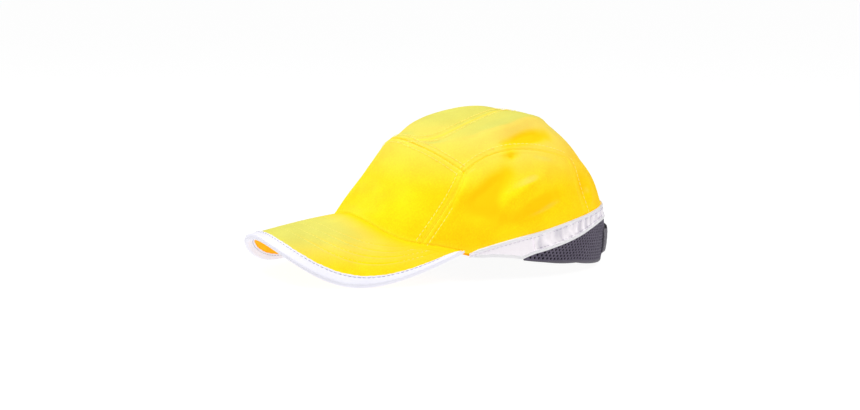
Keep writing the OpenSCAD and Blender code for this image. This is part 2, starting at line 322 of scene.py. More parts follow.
def soft_noise(points, scale, seed):
    """Smooth noise of about unit height over points in mm, for features of that scale."""
    flat = points.reshape(-1, 3) / scale + seed * NOISE_SHIFT
    values = [noise.noise(Vector(p)) for p in flat]
    return np.array(values).reshape(points.shape[:-1])


# ---------------------------------------------------------------- meshes
def add_mesh(name, vertices, faces, uv=None):
    """A smooth-shaded mesh object from vertices in mm."""
    mesh = bpy.data.meshes.new(name)
    mesh.from_pydata((np.asarray(vertices, float) * MM).tolist(), [], faces)
    mesh.validate()
    mesh.polygons.foreach_set("use_smooth", [True] * len(mesh.polygons))
    piece = bpy.data.objects.new(name, mesh)
    bpy.context.scene.collection.objects.link(piece)
    if uv is not None:
        layer = mesh.uv_layers.new(name="weave")
        loops = np.zeros(len(mesh.loops), np.int32)
        mesh.loops.foreach_get("vertex_index", loops)
        layer.data.foreach_set("uv", np.asarray(uv, float)[loops].ravel())
    return piece


def turn_faces_outwards(piece):
    bm = bmesh.new()
    bm.from_mesh(piece.data)
    bmesh.ops.recalc_face_normals(bm, faces=bm.faces)
    bm.to_mesh(piece.data)
    bm.free()


def net_faces(rows, cols, first=0, flip=False):
    j, i = np.meshgrid(np.arange(rows - 1), np.arange(cols - 1), indexing="ij")
    a = (first + j * cols + i).ravel()
    quads = np.stack([a, a + 1, a + cols + 1, a + cols], 1)
    return (quads[:, ::-1] if flip else quads).tolist()


def sheet_between(name, outer, inner, **marks):
    """A closed sheet between two nets of points. Its weave coordinates are lengths
    along the outer net. Marks are values on the outer net from 0 to 1: wear where the cloth is rubbed,
    and a painted highlight on the tape's crests; painted shade in a fold or under the crown; painted
    light on the crown's top."""
    rows, cols = outer.shape[:2]
    low, _, start, _ = edge_distances(outer)
    uv = np.stack([start - start[:, cols // 2:cols // 2 + 1], low], -1).reshape(-1, 2)
    count = rows * cols
    border = (
        list(range(cols)) + [(j + 1) * cols - 1 for j in range(1, rows)]
        + [count - 2 - k for k in range(cols - 1)]
        + [(rows - 1 - j) * cols for j in range(1, rows - 1)]
    )
    walls = [[a, a + count, b + count, b] for a, b in zip(border, border[1:] + border[:1])]
    faces = net_faces(rows, cols) + net_faces(rows, cols, count, True) + walls
    vertices = np.concatenate([outer.reshape(-1, 3), inner.reshape(-1, 3)])
    piece = add_mesh(name, vertices, faces, np.concatenate([uv, uv]))
    for mark, values in marks.items():
        layer = piece.data.attributes.new(mark, "FLOAT", "POINT")
        outside = np.broadcast_to(values, (rows, cols)).ravel()
        both = np.concatenate([outside, np.zeros(count)])
        layer.data.foreach_set("value", both.astype(np.float32))
    turn_faces_outwards(piece)
    return piece


def tube_faces(count, size, first=0):
    """Faces of a closed tube through rings of points, whose vertices start at first."""
    faces = []
    for ring in range(first, first + (count - 1) * size, size):
        for n in range(size):
            a, b = ring + n, ring + (n + 1) % size
            faces.append([a, b, b + size, a + size])
    last = first + (count - 1) * size
    return faces + [list(range(first, first + size))[::-1], list(range(last, last + size))]


def loop_sweep(name, rings):
    """A closed tube through rings of points, an array of (ring, point, xyz) in mm."""
    count, size = rings.shape[:2]
    run = np.repeat(run_of(rings.mean(1))[:, None], size, 1)
    round_it = np.linalg.norm(np.diff(rings, axis=1, append=rings[:, :1]), axis=2).cumsum(1)
    uv = np.stack([run, round_it], -1).reshape(-1, 2)
    piece = add_mesh(name, rings.reshape(-1, 3), tube_faces(count, size), uv)
    turn_faces_outwards(piece)
    return piece


THREAD_SIDES = 5
THREAD_TIP = 0.45
OFF_AXIS = (0.31, 0.17, 0.93)


def tubes(name, paths, radius):
    """Round threads along short paths of points in mm, as one mesh."""
    turn = np.linspace(0, 2 * math.pi, THREAD_SIDES, endpoint=False)[:, None]
    vertices, faces = [], []
    for path in paths:
        ahead = unit(np.gradient(path, axis=0))
        across = unit(np.cross(ahead, OFF_AXIS))
        up = np.cross(ahead, across)
        size = np.full((len(path), 1, 1), radius)
        size[[0, -1]] *= THREAD_TIP
        rings = path[:, None] + size * (np.cos(turn) * across[:, None] + np.sin(turn) * up[:, None])
        faces += tube_faces(len(path), THREAD_SIDES, len(vertices))
        vertices += list(rings.reshape(-1, 3))
    return add_mesh(name, vertices, faces)


STITCH_START = 0.4
STITCH_SINK = 0.25


def stitches(line, length, gap):
    """Short thread paths along a dense line of points, each dipping in at its ends."""
    run = run_of(line)
    centre = line.mean(0)
    paths = []
    start = STITCH_START
    while start + length < run[-1]:
        at = np.linspace(start, start + length, 4)
        points = np.stack([np.interp(at, run, line[:, k]) for k in range(3)], 1)
        points[[0, -1]] += unit(centre - points[[0, -1]]) * STITCH_SINK
        paths.append(points)
        start += length + gap
    return paths


# ---------------------------------------------------------------- materials
MIX_INPUTS = (0, 6, 7)
MIX_OUTPUT = 2


class Graph:
    """The nodes of a material or of the world, with short ways to add to them."""

    def __init__(self, tree):
        self.nodes, self.links = tree.nodes, tree.links

    def plug(self, socket, value):
        """Feed a socket with another node's output, a number or a colour."""
        if hasattr(value, "is_linked"):
            self.links.new(value, socket)
        elif isinstance(value, (int, float)):
            socket.default_value = value
        else:
            socket.default_value = (*value, 1)

    def node(self, kind, **values):
        """A node with its settings and its inputs given by name."""
        made = self.nodes.new("ShaderNode" + kind)
        for key, value in values.items():
            if hasattr(made, key):
                setattr(made, key, value)
            else:
                self.plug(made.inputs[key.replace("_", " ")], value)
        return made

    def calc(self, operation, *values):
        made = self.node("Math", operation=operation)
        for socket, value in zip(made.inputs, values):
            self.plug(socket, value)
        return made.outputs[0]

    def weighed(self, a, b, share):
        """That share of a, and the rest from b."""
        return self.calc("ADD", self.calc("MULTIPLY", a, share), self.calc("MULTIPLY", b, 1 - share))

    def mix(self, share, a, b):
        """Colour a where the share is 0, and b where it is 1."""
        made = self.node("Mix", data_type="RGBA")
        for number, value in zip(MIX_INPUTS, (share, a, b)):
            self.plug(made.inputs[number], value)
        return made.outputs[MIX_OUTPUT]

    def ramp(self, value, spread, dark, light):
        """Colour from dark to light as the value passes a half, by that spread on each side."""
        made = self.node("ValToRGB")
        self.plug(made.inputs[0], value)
        stops = ((0.5 - spread, dark), (0.5 + spread, light))
        for element, (position, colour) in zip(made.color_ramp.elements, stops):
            element.position = position
            element.color = (*colour, 1)
        return made.outputs[0]

    def mottle(self, scale, detail):
        """Noise over the piece, of that many features to the metre."""
        place = self.node("TexCoord").outputs["Object"]
        return self.node("TexNoise", Vector=place, Scale=scale, Detail=detail).outputs["Fac"]

    def mark(self, name):
        """A mark of sheet_between."""
        return self.node("Attribute", attribute_name=name).outputs["Fac"]

    def parts(self, vector):
        made = self.node("SeparateXYZ")
        self.plug(made.inputs[0], vector)
        return made.outputs

    def relief(self, shader, height, strength, distance):
        """The height shown as relief of a distance in mm."""
        bump = self.node("Bump", Strength=strength, Distance=distance * MM, Height=height)
        self.plug(shader.inputs["Normal"], bump.outputs[0])


def new_material(name, roughness=0.8, metallic=0.0, sheen=0.0, sheen_tint=(1, 1, 1), specular=0.5):
    material = bpy.data.materials.new(name)
    material.use_nodes = True
    shader = material.node_tree.nodes["Principled BSDF"]
    settings = {
        "Roughness": roughness, "Metallic": metallic, "Sheen Weight": sheen, "Sheen Roughness": 0.5,
        "Sheen Tint": (*sheen_tint, 1), "Specular IOR Level": specular,
    }
    for key, value in settings.items():
        shader.inputs[key].default_value = value
    return material, Graph(material.node_tree), shader


WARP_SHARE = 0.35


def weave_height(graph, pitch, diagonal):
    """Height of a weave of that pitch in mm over the sheet's own coordinates: the
    threads cross, and a twill's ribs run aslant."""
    u, v, _ = graph.parts(graph.node("UVMap", uv_map="weave").outputs[0])
    turn = 2 * math.pi / pitch
    warp = graph.calc("SINE", graph.calc("MULTIPLY", u, turn))
    slant = graph.calc("ADD", v, graph.calc("MULTIPLY", u, diagonal))
    weft = graph.calc("SINE", graph.calc("MULTIPLY", slant, turn))
    return graph.calc("ADD", graph.calc("MULTIPLY", warp, WARP_SHARE), weft)


# Height of the unit normal where the painted highlight on cloth that faces up begins, and where it is at
# its most
UPRIGHT, LEVEL = 0.6, 0.98


def facing_up(graph):
    """0 where the cloth is upright or faces down, 1 where it faces up."""
    height = graph.parts(graph.node("NewGeometry").outputs["Normal"])[2]
    made = graph.node(
        "MapRange", interpolation_type="SMOOTHSTEP", Value=height, From_Min=UPRIGHT, From_Max=LEVEL,
    )
    return made.outputs[0]


def toned(colour, tone):
    return [tone * part for part in colour]


# Painted shade takes the dark colour at this tone
PAINTED_SHADE_TONE = 0.95
PALE_TONE = 0.9
# Share of the painted glow left where the cloth faces up
LEVEL_PAINTED_GLOW = 0.2
DYE_SPREAD = 0.12
PATCH_SHARE = 0.6
THREAD_SHADE = 0.12
FABRIC_RELIEF = 0.55


def fabric(name, light, dark, worn_and_highlight, pitch=0.9, diagonal=0.8, bump=0.09, painted_glow=None, pale=None, **finish):
    """Woven cloth: thread by thread relief, uneven dye, fuzz, and rubbed edges, which on the tape
    are a painted highlight on its crests. One with a pale colour takes it as a painted highlight where
    it faces up or is marked as lit, is darker where marked with painted shade, and has less of its
    painted glow where it faces up."""
    material, graph, shader = new_material(name, **finish)
    fuzz = graph.mottle(900.0, 2.0)
    dye = graph.weighed(graph.mottle(38.0, 3.0), fuzz, PATCH_SHARE)
    base = graph.ramp(dye, DYE_SPREAD, dark, light)
    if pale:
        sheltered = graph.mark("sheltered")
        # Painted highlight where the cloth faces up, none where painted shade is marked
        lit_share = graph.calc("MULTIPLY", facing_up(graph), graph.calc("SUBTRACT", 1.0, sheltered))
        faded = graph.calc("MAXIMUM", lit_share, graph.mark("faded"))
        base = graph.mix(faded, base, graph.ramp(dye, DYE_SPREAD, toned(pale, PALE_TONE), pale))
        # Painted shade: darker where marked
        base = graph.mix(sheltered, base, toned(dark, PAINTED_SHADE_TONE))
        # Less painted glow where the cloth faces up
        painted_glow = graph.mix(lit_share, painted_glow, toned(painted_glow, LEVEL_PAINTED_GLOW))
    weave = weave_height(graph, pitch, diagonal)
    thread = graph.calc("MULTIPLY_ADD", weave, THREAD_SHADE, THREAD_SHADE)
    threads = graph.mix(thread, base, dark)
    # The worn colour where marked: real wear, and on the tape a painted highlight
    graph.plug(shader.inputs["Base Color"], graph.mix(graph.mark("wear"), threads, worn_and_highlight))
    height = graph.calc("ADD", graph.calc("MULTIPLY", weave, 0.5), fuzz)
    graph.relief(shader, height, FABRIC_RELIEF, bump)
    # Painted glow: the cloth shines by itself, though it is no lamp
    if painted_glow:
        graph.plug(shader.inputs["Emission Color"], painted_glow)
        shader.inputs["Emission Strength"].default_value = 1.0
    return material


BROADER = 25
GRAIN_SPREAD = 0.1


def bumpy(name, light, dark, scale, distance, **finish):
    """Moulded, foamed or terry surface: mottled colour over a grain of that scale."""
    material, graph, shader = new_material(name, **finish)
    grain = graph.mottle(scale, 4.0)
    tone = graph.weighed(grain, graph.mottle(scale / BROADER, 3.0), 0.5)
    graph.plug(shader.inputs["Base Color"], graph.ramp(tone, GRAIN_SPREAD, dark, light))
    graph.relief(shader, grain, 1.0, distance)
    return material


# Cloth: its light, dark and worn colours, and a painted glow where it has one. The others: their light and
# dark colours, grain and relief
yellow = fabric(
    "hi_vis_yellow_twill", (0.96, 0.88, 0.006), (0.93, 0.71, 0.002), (0.96, 0.9, 0.06),
    painted_glow=(0.36, 0.11, 0.0), pale=(0.81, 0.85, 0.19), roughness=0.85, sheen=0.05,
    sheen_tint=(0.8, 1.0, 0.3), specular=0.1,
)
# The peak's underside is the same twill, painted in shade: a darker, more orange copy, with its painted
# glow
shaded_yellow = fabric(
    "peak_underside_shaded_twill", (0.98, 0.62, 0.003), (0.88, 0.5, 0.002), (1.0, 0.74, 0.05),
    painted_glow=(0.32, 0.06, 0.0), roughness=0.85, sheen=0.02, specular=0.1,
)
# The tape's worn colour is a painted highlight on its crests
tape_silver = fabric(
    "reflective_tape", (0.7, 0.69, 0.74), (0.6, 0.59, 0.65), (1.0, 0.97, 1.0), pitch=0.6, diagonal=0.0,
    bump=0.03, painted_glow=(0.25, 0.22, 0.24), roughness=0.35, metallic=0.3, specular=0.6,
)
binding_white = fabric(
    "silver_white_binding", (0.82, 0.81, 0.88), (0.74, 0.73, 0.81), (0.9, 0.89, 0.94), pitch=0.7,
    diagonal=0.0, bump=0.04, painted_glow=(0.25, 0.25, 0.28), roughness=0.55, metallic=0.1, specular=0.4,
)
piping_white = fabric(
    "white_bias_piping", (0.95, 0.94, 0.96), (0.88, 0.87, 0.9), (0.96, 0.96, 0.96), pitch=0.7,
    diagonal=0.0, painted_glow=(0.12, 0.12, 0.12), roughness=0.7, specular=0.3,
)
slate_mesh = fabric(
    "slate_spacer_mesh", (0.155, 0.132, 0.19), (0.105, 0.09, 0.135), (0.18, 0.16, 0.2), pitch=0.5,
    diagonal=0.0, bump=0.08, roughness=0.7, sheen=0.15, specular=0.35,
)
webbing = fabric(
    "slate_webbing", (0.17, 0.155, 0.19), (0.12, 0.108, 0.135), (0.24, 0.22, 0.26), pitch=1.6,
    diagonal=0.15, bump=0.25, roughness=0.75, sheen=0.2, specular=0.35,
)
# Thread paler than the cloth: partly its own colour, partly a painted highlight along the stitch ridges
yellow_thread = fabric(
    "yellow_thread", (0.98, 0.92, 0.34), (0.92, 0.82, 0.2), (1.0, 0.94, 0.4), painted_glow=(0.3, 0.16, 0.02),
    roughness=0.6, specular=0.3,
)
# Near black: painted shade behind the rear mesh, so that its holes look dark
mesh_shade_backing = bumpy(
    "mesh_shade_backing", (0.02, 0.014, 0.03), (0.008, 0.006, 0.014), 2200.0, 0.1, roughness=0.9, specular=0.2,
)
loop_pile = bumpy(
    "loop_pile", (0.16, 0.148, 0.175), (0.09, 0.083, 0.1), 2600.0, 0.5,
    roughness=0.95, sheen=0.5, specular=0.1,
)
hook_tape = bumpy("hook_tape", (0.05, 0.05, 0.055), (0.02, 0.02, 0.024), 1800.0, 0.5, roughness=0.5)
towelling = bumpy(
    "sweatband_towelling", (0.05, 0.05, 0.058), (0.022, 0.022, 0.026), 1500.0, 0.6,
    roughness=0.95, sheen=0.4, specular=0.1,
)
shell_plastic = bumpy("shell_abs", (0.8, 0.8, 0.77), (0.73, 0.73, 0.7), 1300.0, 0.03, roughness=0.32)
eva = bumpy(
    "liner_foam", (0.06, 0.062, 0.068), (0.032, 0.033, 0.037), 1700.0, 0.12, roughness=0.85, specular=0.3,
)
pad_foam = bumpy(
    "pad_foam", (0.035, 0.036, 0.04), (0.014, 0.014, 0.017), 2400.0, 0.2, roughness=0.95, specular=0.2,
)
board_plastic = bumpy("peak_board", (0.85, 0.85, 0.82), (0.78, 0.78, 0.75), 900.0, 0.05, roughness=0.45)
grey_thread = bumpy("grey_thread", (0.62, 0.6, 0.7), (0.5, 0.48, 0.58), 2500.0, 0.05, roughness=0.6)
slate_thread = bumpy("slate_thread", (0.15, 0.135, 0.17), (0.09, 0.08, 0.1), 2500.0, 0.05, roughness=0.7)


def finish_piece(piece, material, body, slot, *replaced):
    piece.data.materials.clear()
    piece.data.materials.append(material)
    if body:
        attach(piece, body)
    if replaced:
        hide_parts(*replaced)
    return piece


def declare_sheet(outer, with_pieces=()):
    """Measures the length and width of the outer face; nothing is done with them or with the pieces."""
    along = np.linalg.norm(np.diff(outer, axis=1), axis=2).sum(1).max()
    across = np.linalg.norm(np.diff(outer, axis=0), axis=2).sum(0).max()
    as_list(with_pieces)


def add_cloth(name, outer, inner, material, body, slot, *replaced, flat=None, with_pieces=(), **marks):
    """A finished sheet between two nets of points. The net given as flat, or else its outer face,
    is only measured."""
    piece = sheet_between(name, outer, inner, **marks)
    finish_piece(piece, material, body, slot, *replaced)
    declare_sheet(outer if flat is None else flat, with_pieces)
    return piece


# ---------------------------------------------------------------- crown panels
# A fold keeps a share of its height at its ends and gains the rest at its middle
FOLD_END, FOLD_MIDDLE = 0.35, 0.65
FOLD_CLIP = 0.08


def fold_relief(m):
    """How far the folds push the cloth out, in mm, at map points."""
    total = np.zeros(m.shape[:-1])
    for start, end, width, height in FOLDS:
        start, end = np.array(start), np.array(end)
        line = end - start
        t = np.clip(((m - start) @ line) / (line @ line), 0, 1)
        distance = np.linalg.norm(m - start - t[..., None] * line, axis=-1) * MAP_LENGTH
        taper = FOLD_END + FOLD_MIDDLE * np.sin(np.pi * np.clip(t, FOLD_CLIP, 1 - FOLD_CLIP))
        total += height * taper * hump(distance, width)
    return total


# The crown stands proud in mm along the middle of its front seam, where it is stretched over the shell
RIDGE_HEIGHT, RIDGE_WIDTH = 5.5, 12.0
RIDGE_AT, RIDGE_SPAN = -0.43, 0.3


def ridge(m):
    """How far the crown stands proud, in mm, at its front seam."""
    ahead = (m[..., 1] - RIDGE_AT) * MAP_LENGTH
    return RIDGE_HEIGHT * hump(m[..., 0], RIDGE_SPAN) * hump(ahead, RIDGE_WIDTH)


# How deep a panel rolls into a seam in mm, and how strongly its topstitching shows from 0 to 1
BOUND_SEAM = (1.0, 0)
PLAIN_SEAM = (0.9, 0.35)
CENTRE_SEAM = (0.3, 0.5)
LAPPED_SEAM = (1.0, 1)

# The relief of a topstitched seam, in mm from it: the roll, the ledge over the seam allowance with
# where it rises and falls, the dip at the stitches, and the puckers round them
ROLL_WIDTH = 0.7
LEDGE, LEDGE_RISE, LEDGE_FALL = 0.2, (0.6, 1.5), (3.4, 4.4)
STITCH_DIP, STITCH_OFFSET, STITCH_WIDTH = 0.22, 4.3, 0.7
PUCKER, PUCKER_AT, PUCKER_WIDTH = 0.2, 4.6, 3.2


def seam_relief(distance, along, phase, groove, topstitched):
    """Depth of the cloth near a seam, in mm: it rolls into the seam, and where it is
    topstitched it stands up over the seam allowance and puckers along the stitches."""
    ledge = LEDGE * smooth(distance, *LEDGE_RISE) * (1 - smooth(distance, *LEDGE_FALL))
    dip = STITCH_DIP * hump(distance - STITCH_OFFSET, STITCH_WIDTH)
    pucker = PUCKER * wobble(along, phase) * hump(distance - PUCKER_AT, PUCKER_WIDTH)
    return groove * hump(distance, ROLL_WIDTH) + topstitched * (dip + pucker - ledge)


# How far a panel is sunk, and how far it puffs out away from its seams and how unevenly, in mm
SUNK = 0.5
PUFF, PUFF_VARIES, PUFF_ZONE, PUFF_SCALE = 1.1, 0.9, (4, 26), 42
FOLD_ZONE, FOLD_LIMIT = (1.5, 9), 2.2
RUMPLE, RUMPLE_ZONE, RUMPLE_SCALE = 0.12, (2, 8), 9
SEAM_WEAR, SEAM_WEAR_WIDTH = 0.6, 1.6
# How far a fold falls in, in mm, where the painted shade in its trough starts and where it is full
FOLD_SHADE = (-0.3, 2.6)

# The crown is painted lighter towards its top, painted light where the light falls on it: the most
# it may be, and the heights in mm where it starts and is at its most
PAINTED_LIGHT_MOST = 0.95
PAINTED_LIGHT_HEIGHTS = (58, 107)


def panel_depth(net, base, near, seams, seed):
    """Depth in mm of a crown panel's outer face below the plain crown."""
    low, high, start, end = edge_distances(base)
    depth = SUNK - smooth(near, *FOLD_ZONE) * fold_relief(net)
    depth -= smooth(near, *PUFF_ZONE) * (PUFF + PUFF_VARIES * soft_noise(base, PUFF_SCALE, seed))
    for k, (distance, along) in enumerate(((low, start), (high, start), (start, low), (end, low))):
        depth += seam_relief(distance, along, seed + k, *seams[k])
    depth = np.minimum(depth, FOLD_LIMIT)
    depth -= RUMPLE * smooth(near, *RUMPLE_ZONE) * soft_noise(base, RUMPLE_SCALE, seed + 3)
    return depth - ridge(net)


def crown_panel(node_name, corners, lengths, seams, seed):
    """A crown panel between four map edges. seams gives, for the low, high, start and
    end edges, what kind of seam it is; lengths are about those of its low and start edges."""
    net = patch(*corners, graded(lengths[0]), graded(lengths[1]))
    base = crown(net)
    near = np.minimum.reduce(edge_distances(base))
    depth = panel_depth(net, base, near, seams, seed)
    # Painted shade in the troughs of the folds
    sheltered = smooth(-fold_relief(net), *FOLD_SHADE)
    add_cloth(
        f"{node_name}_cloth", crown(net, depth), crown(net, depth + CLOTH),
        yellow, "cover", "yellow_twill", node_name,
        wear=SEAM_WEAR * np.exp(-near / SEAM_WEAR_WIDTH), sheltered=sheltered,
        # Painted light on the crown's top, none in the painted shade of the folds
        faded=PAINTED_LIGHT_MOST * smooth(base[..., 2], *PAINTED_LIGHT_HEIGHTS) * (1 - sheltered),
    )


front_low = both_sides(edge((VISOR_SEAM_FRONT, 1)))
front_top = both_sides(edge((FRONT_TOP, 1)))
front_side = edge((FRONT_SIDE, 1))
top_side = edge((TOP_SIDE, 1))
top_front = backwards(edge((FRONT_TOP, 1)))
side_back = edge((SIDE_BACK, 1))
back_tape = edge((TAPE_TOP_3, 1))
centre_line = edge((CENTRE_FRONT, 8 / 16), (CENTRE_BACK, 8 / 16))
side_outline = edge((TOP_SIDE, 9 / 16), (SIDE_BACK[::-1], 7 / 16))
side_low = edge((VISOR_SEAM_SIDE, 3 / 11), (TAPE_TOP_1, 4 / 11), (TAPE_TOP_2, 4 / 11))

crown_panel(
    "front_panel", (front_low, front_top, mirrored(front_side), front_side),
    (150, 75), (BOUND_SEAM, LAPPED_SEAM, LAPPED_SEAM, LAPPED_SEAM), 1,
)
for side, seed in (("left", 2), ("right", 3)):
    outline, front, back = on_side(side, side_outline, top_front, back_tape)
    crown_panel(
        f"top_panel_{side}", (outline, centre_line, front, back),
        (180, 80), (BOUND_SEAM, CENTRE_SEAM, LAPPED_SEAM, BOUND_SEAM), seed,
    )
for side, seed in (("left", 4), ("right", 5)):
    crown_panel(
        f"side_panel_{side}", on_side(side, side_low, top_side, front_side, side_back),
        (150, 75), (BOUND_SEAM, PLAIN_SEAM, LAPPED_SEAM, PLAIN_SEAM), seed,
    )


# ---------------------------------------------------------------- reflective tape, pipings and hem
tape_top_whole = round_the_back(edge((TAPE_TOP_1, 6 / 20), (TAPE_TOP_2, 6 / 20), (TAPE_TOP_3, 8 / 20)))
tape_low_whole = round_the_back(
    edge((RIM_FRONT, 3 / 17), (TAPE_LOW_1, 1 / 17), (TAPE_LOW_2, 5 / 17), (TAPE_LOW_3, 8 / 17))
)
tape_top_back = round_the_back(edge((TAPE_TOP_2, 7 / 15), (TAPE_TOP_3, 8 / 15)))
tape_low_back = round_the_back(edge((TAPE_LOW_2, 7 / 15), (TAPE_LOW_3, 8 / 15)))
tape_top_front = edge((TAPE_TOP_1, 1))
tape_low_front = edge((RIM_FRONT, 5 / 7), (TAPE_LOW_1, 2 / 7))
mesh_top = round_the_back(edge((TAPE_LOW_1, 1 / 15), (TAPE_LOW_2, 6 / 15), (TAPE_LOW_3, 8 / 15)))
rear_rim = round_the_back(edge((RIM_SIDE, 7 / 15), (RIM_BACK, 8 / 15)))

TAPE_ROWS = 15
TAPE_THICKNESS = 0.7
GATHER_HEIGHT, GATHER_POWER, GATHER_PEAKS = 1.0, 0.7, 0.35
FLAT_TAPE, GATHERED_TAPE = 0.12, 1.0
CREASE_LENGTH, CREASE_TURN, CREASE_SEED = 4.2, 0.9, 3.1
CREASE_SLANT, CREASE_BEND = 2.5, 3
# Crease noise over which a crest's painted highlight grows from none to full
CREST_ZONE = (-0.35, 0.25)
TAPE_END_DIP, TAPE_END_WIDTH = 0.5, 0.8


def tape_creases(along, b, seed):
    """Noise along the tape in upright creases that lean and turn a little across it."""
    slant = along + CREASE_SLANT * np.sin(b * CREASE_BEND)[:, None]
    return np.array([
        [noise.noise(Vector((s / CREASE_LENGTH, CREASE_SEED * seed, row * CREASE_TURN))) for s in places]
        for row, places in zip(b, slant)
    ])


def reflective_tape(node_name, low, high, count, gather, seed):
    """A tape between two map edges, gathered from 0 to 1. Its crests are painted bright, a painted
    highlight, and the less it is gathered the more of it is painted bright.
    """
    b = np.linspace(0, 1, TAPE_ROWS)
    net = strip(low, high, np.linspace(0, 1, count), b)
    base = crown(net)
    _, _, along, to_end = edge_distances(base)
    creases = tape_creases(along, b, seed)
    belly = np.sin(np.pi * b)[:, None] ** GATHER_POWER
    depth = -gather * GATHER_HEIGHT * belly * (creases + GATHER_PEAKS * np.abs(creases))
    depth += TAPE_END_DIP * (hump(along, TAPE_END_WIDTH) + hump(to_end, TAPE_END_WIDTH))
    # Painted highlight: the crests, and nearly all of a tape that is hardly gathered, take the bright worn
    # colour
    crests = 1 - gather * (1 - smooth(creases, *CREST_ZONE))
    add_cloth(
        f"{node_name}_strip", crown(net, depth), crown(net, depth + TAPE_THICKNESS),
        tape_silver, "cover", "reflective_tape", node_name, flat=base, wear=crests,
    )


for side in ("left", "right"):
    reflective_tape(f"tape_{side}", *on_side(side, tape_low_front, tape_top_front), 90, FLAT_TAPE, 3)
reflective_tape("tape_back", tape_low_back, tape_top_back, 520, GATHERED_TAPE, 8)

PIPING_SIDES = 10
PIPING_WIDTH, PIPING_HEIGHT, PIPING_STANDS = 2.3, 1.4, 0.3
PIPING_TIP, PIPING_TAPER = 0.15, 0.022


def piping(node_name, line, count):
    """A flattened cord along a map edge, half sunk in the cloth and thin at both ends."""
    t = np.linspace(0, 1, count)
    full = PIPING_TIP + (1 - PIPING_TIP) * smooth(np.minimum(t, 1 - t), 0, PIPING_TAPER)[:, None]
    angle = np.linspace(0, 2 * math.pi, PIPING_SIDES, endpoint=False)
    offset = PIPING_WIDTH / 2 * full * np.cos(angle)
    depth = -PIPING_STANDS - PIPING_HEIGHT / 2 * full * np.sin(angle)
    cord = loop_sweep(f"{node_name}_cord", crown(raised(line(t)[:, None], offset), depth))
    finish_piece(cord, piping_white, "cover", "white_piping", node_name)


piping("tape_top_piping", tape_top_whole, 420)
piping("tape_bottom_piping", tape_low_whole, 460)

HEM_POINTS, HEM_SIDES = 360, 12
HEM_TIP, HEM_WIDENS = 0.15, 3
HEM_MIDDLE, HEM_HALF_THICK = 0.6, 0.8
HEM_SQUARE_UP, HEM_SQUARE_OUT = 0.6, 0.7


def hem_share(t):
    """Share of the hem's full height: it narrows to nothing where it meets the tape."""
    return np.minimum(1, HEM_TIP + HEM_WIDENS * (1 - np.abs(2 * t - 1)))


def boxed(wave, power):
    """A sine or cosine swollen towards a square wave."""
    return np.sign(wave) * np.abs(wave) ** power


def rear_hem():
    t = np.linspace(0, 1, HEM_POINTS)
    angle = np.linspace(0, 2 * math.pi, HEM_SIDES, endpoint=False)
    offset = HEM_HEIGHT * hem_share(t)[:, None] / 2 * (1 + boxed(np.cos(angle), HEM_SQUARE_UP))
    depth = HEM_MIDDLE - HEM_HALF_THICK * boxed(np.sin(angle), HEM_SQUARE_OUT)
    hem = loop_sweep("rear_hem_binding", crown(raised(rear_rim(t)[:, None], offset), depth))
    finish_piece(hem, webbing, "cover", "slate_binding", "rear_hem")


rear_hem()


# ---------------------------------------------------------------- rear mesh
HOLE_PITCH = 1.5
CELL_STRETCH = 1.45
HOLE_WIDE, HOLE_TALL = 0.46, 0.68
HOLE_MARGIN = 1.1 * HOLE_PITCH
LIP_DEPTH, MESH_THICKNESS = 0.16, 0.62
HEM_LAP = 0.6


def mesh_low(t):
    """The mesh's lower edge on the map, part of the way up behind its hem."""
    return raised(rear_rim(t), HEM_LAP * HEM_HEIGHT * hem_share(t))


class MeshPanel:
    """The rear panel as a sheet of lengths: s along it and h above its lower edge, in mm."""

    def __init__(self):
        self.t = np.linspace(0, 1, 900)
        low, high = crown(mesh_low(self.t)), crown(mesh_top(self.t))
        self.s = run_of((low + high) / 2)
        self.h = np.linalg.norm(high - low, axis=1)

    def height(self, s):
        return np.interp(s, self.s, self.h)

    def place(self, s, h, depth):
        t = np.interp(s, self.s, self.t)
        share = np.clip(h / self.height(s), 0, 1)[..., None]
        return crown(mesh_low(t) * (1 - share) + mesh_top(t) * share, depth)


def hexagon(s, h):
    corners = []
    for k in range(6):
        angle = k * math.pi / 3
        corners.append((s + CELL_STRETCH * HOLE_PITCH * math.sin(angle), h + HOLE_PITCH * math.cos(angle)))
    return corners


def honeycomb(panel):
    """Cells of the mesh: the middle (s, h) of each, and whether it has its hole."""
    wide, tall = math.sqrt(3) * HOLE_PITCH * CELL_STRETCH, 1.5 * HOLE_PITCH
    length = panel.s[-1]
    for row in range(int(panel.h.max() / tall) + 2):
        for column in range(int(length / wide) + 1):
            s = (column + 0.5 * (row % 2)) * wide
            h = row * tall
            if s > length or h - HOLE_PITCH > panel.height(s):
                continue
            margin = min(h, panel.height(s) - h, s, length - s)
            yield s, h, margin > HOLE_MARGIN


def knit_net(panel):
    """Points (s, h, depth) and faces of the knit: hexagons, each with its hole and the hole's wall."""
    points, index, faces = [], {}, []

    def vertex(s, h, depth):
        s = min(max(s, 0), panel.s[-1])
        h = min(max(h, 0), float(panel.height(s)))
        key = (round(s, 2), round(h, 2), depth)
        if key not in index:
            index[key] = len(points)
            points.append((s, h, depth))
        return index[key]

    for s, h, open_hole in honeycomb(panel):
        corners = hexagon(s, h)
        ring = [vertex(x, y, 0.0) for x, y in corners]
        if not open_hole:
            face = list(dict.fromkeys(ring))
            if len(face) > 2:
                faces.append(face)
            continue
        hole = [(s + (x - s) * HOLE_WIDE, h + (y - h) * HOLE_TALL) for x, y in corners]
        lip = [vertex(x, y, LIP_DEPTH) for x, y in hole]
        foot = [vertex(x, y, MESH_THICKNESS) for x, y in hole]
        for k in range(6):
            n = (k + 1) % 6
            faces.append([ring[k], ring[n], lip[n], lip[k]])
            faces.append([lip[k], lip[n], foot[n], foot[k]])
    return np.array(points), faces


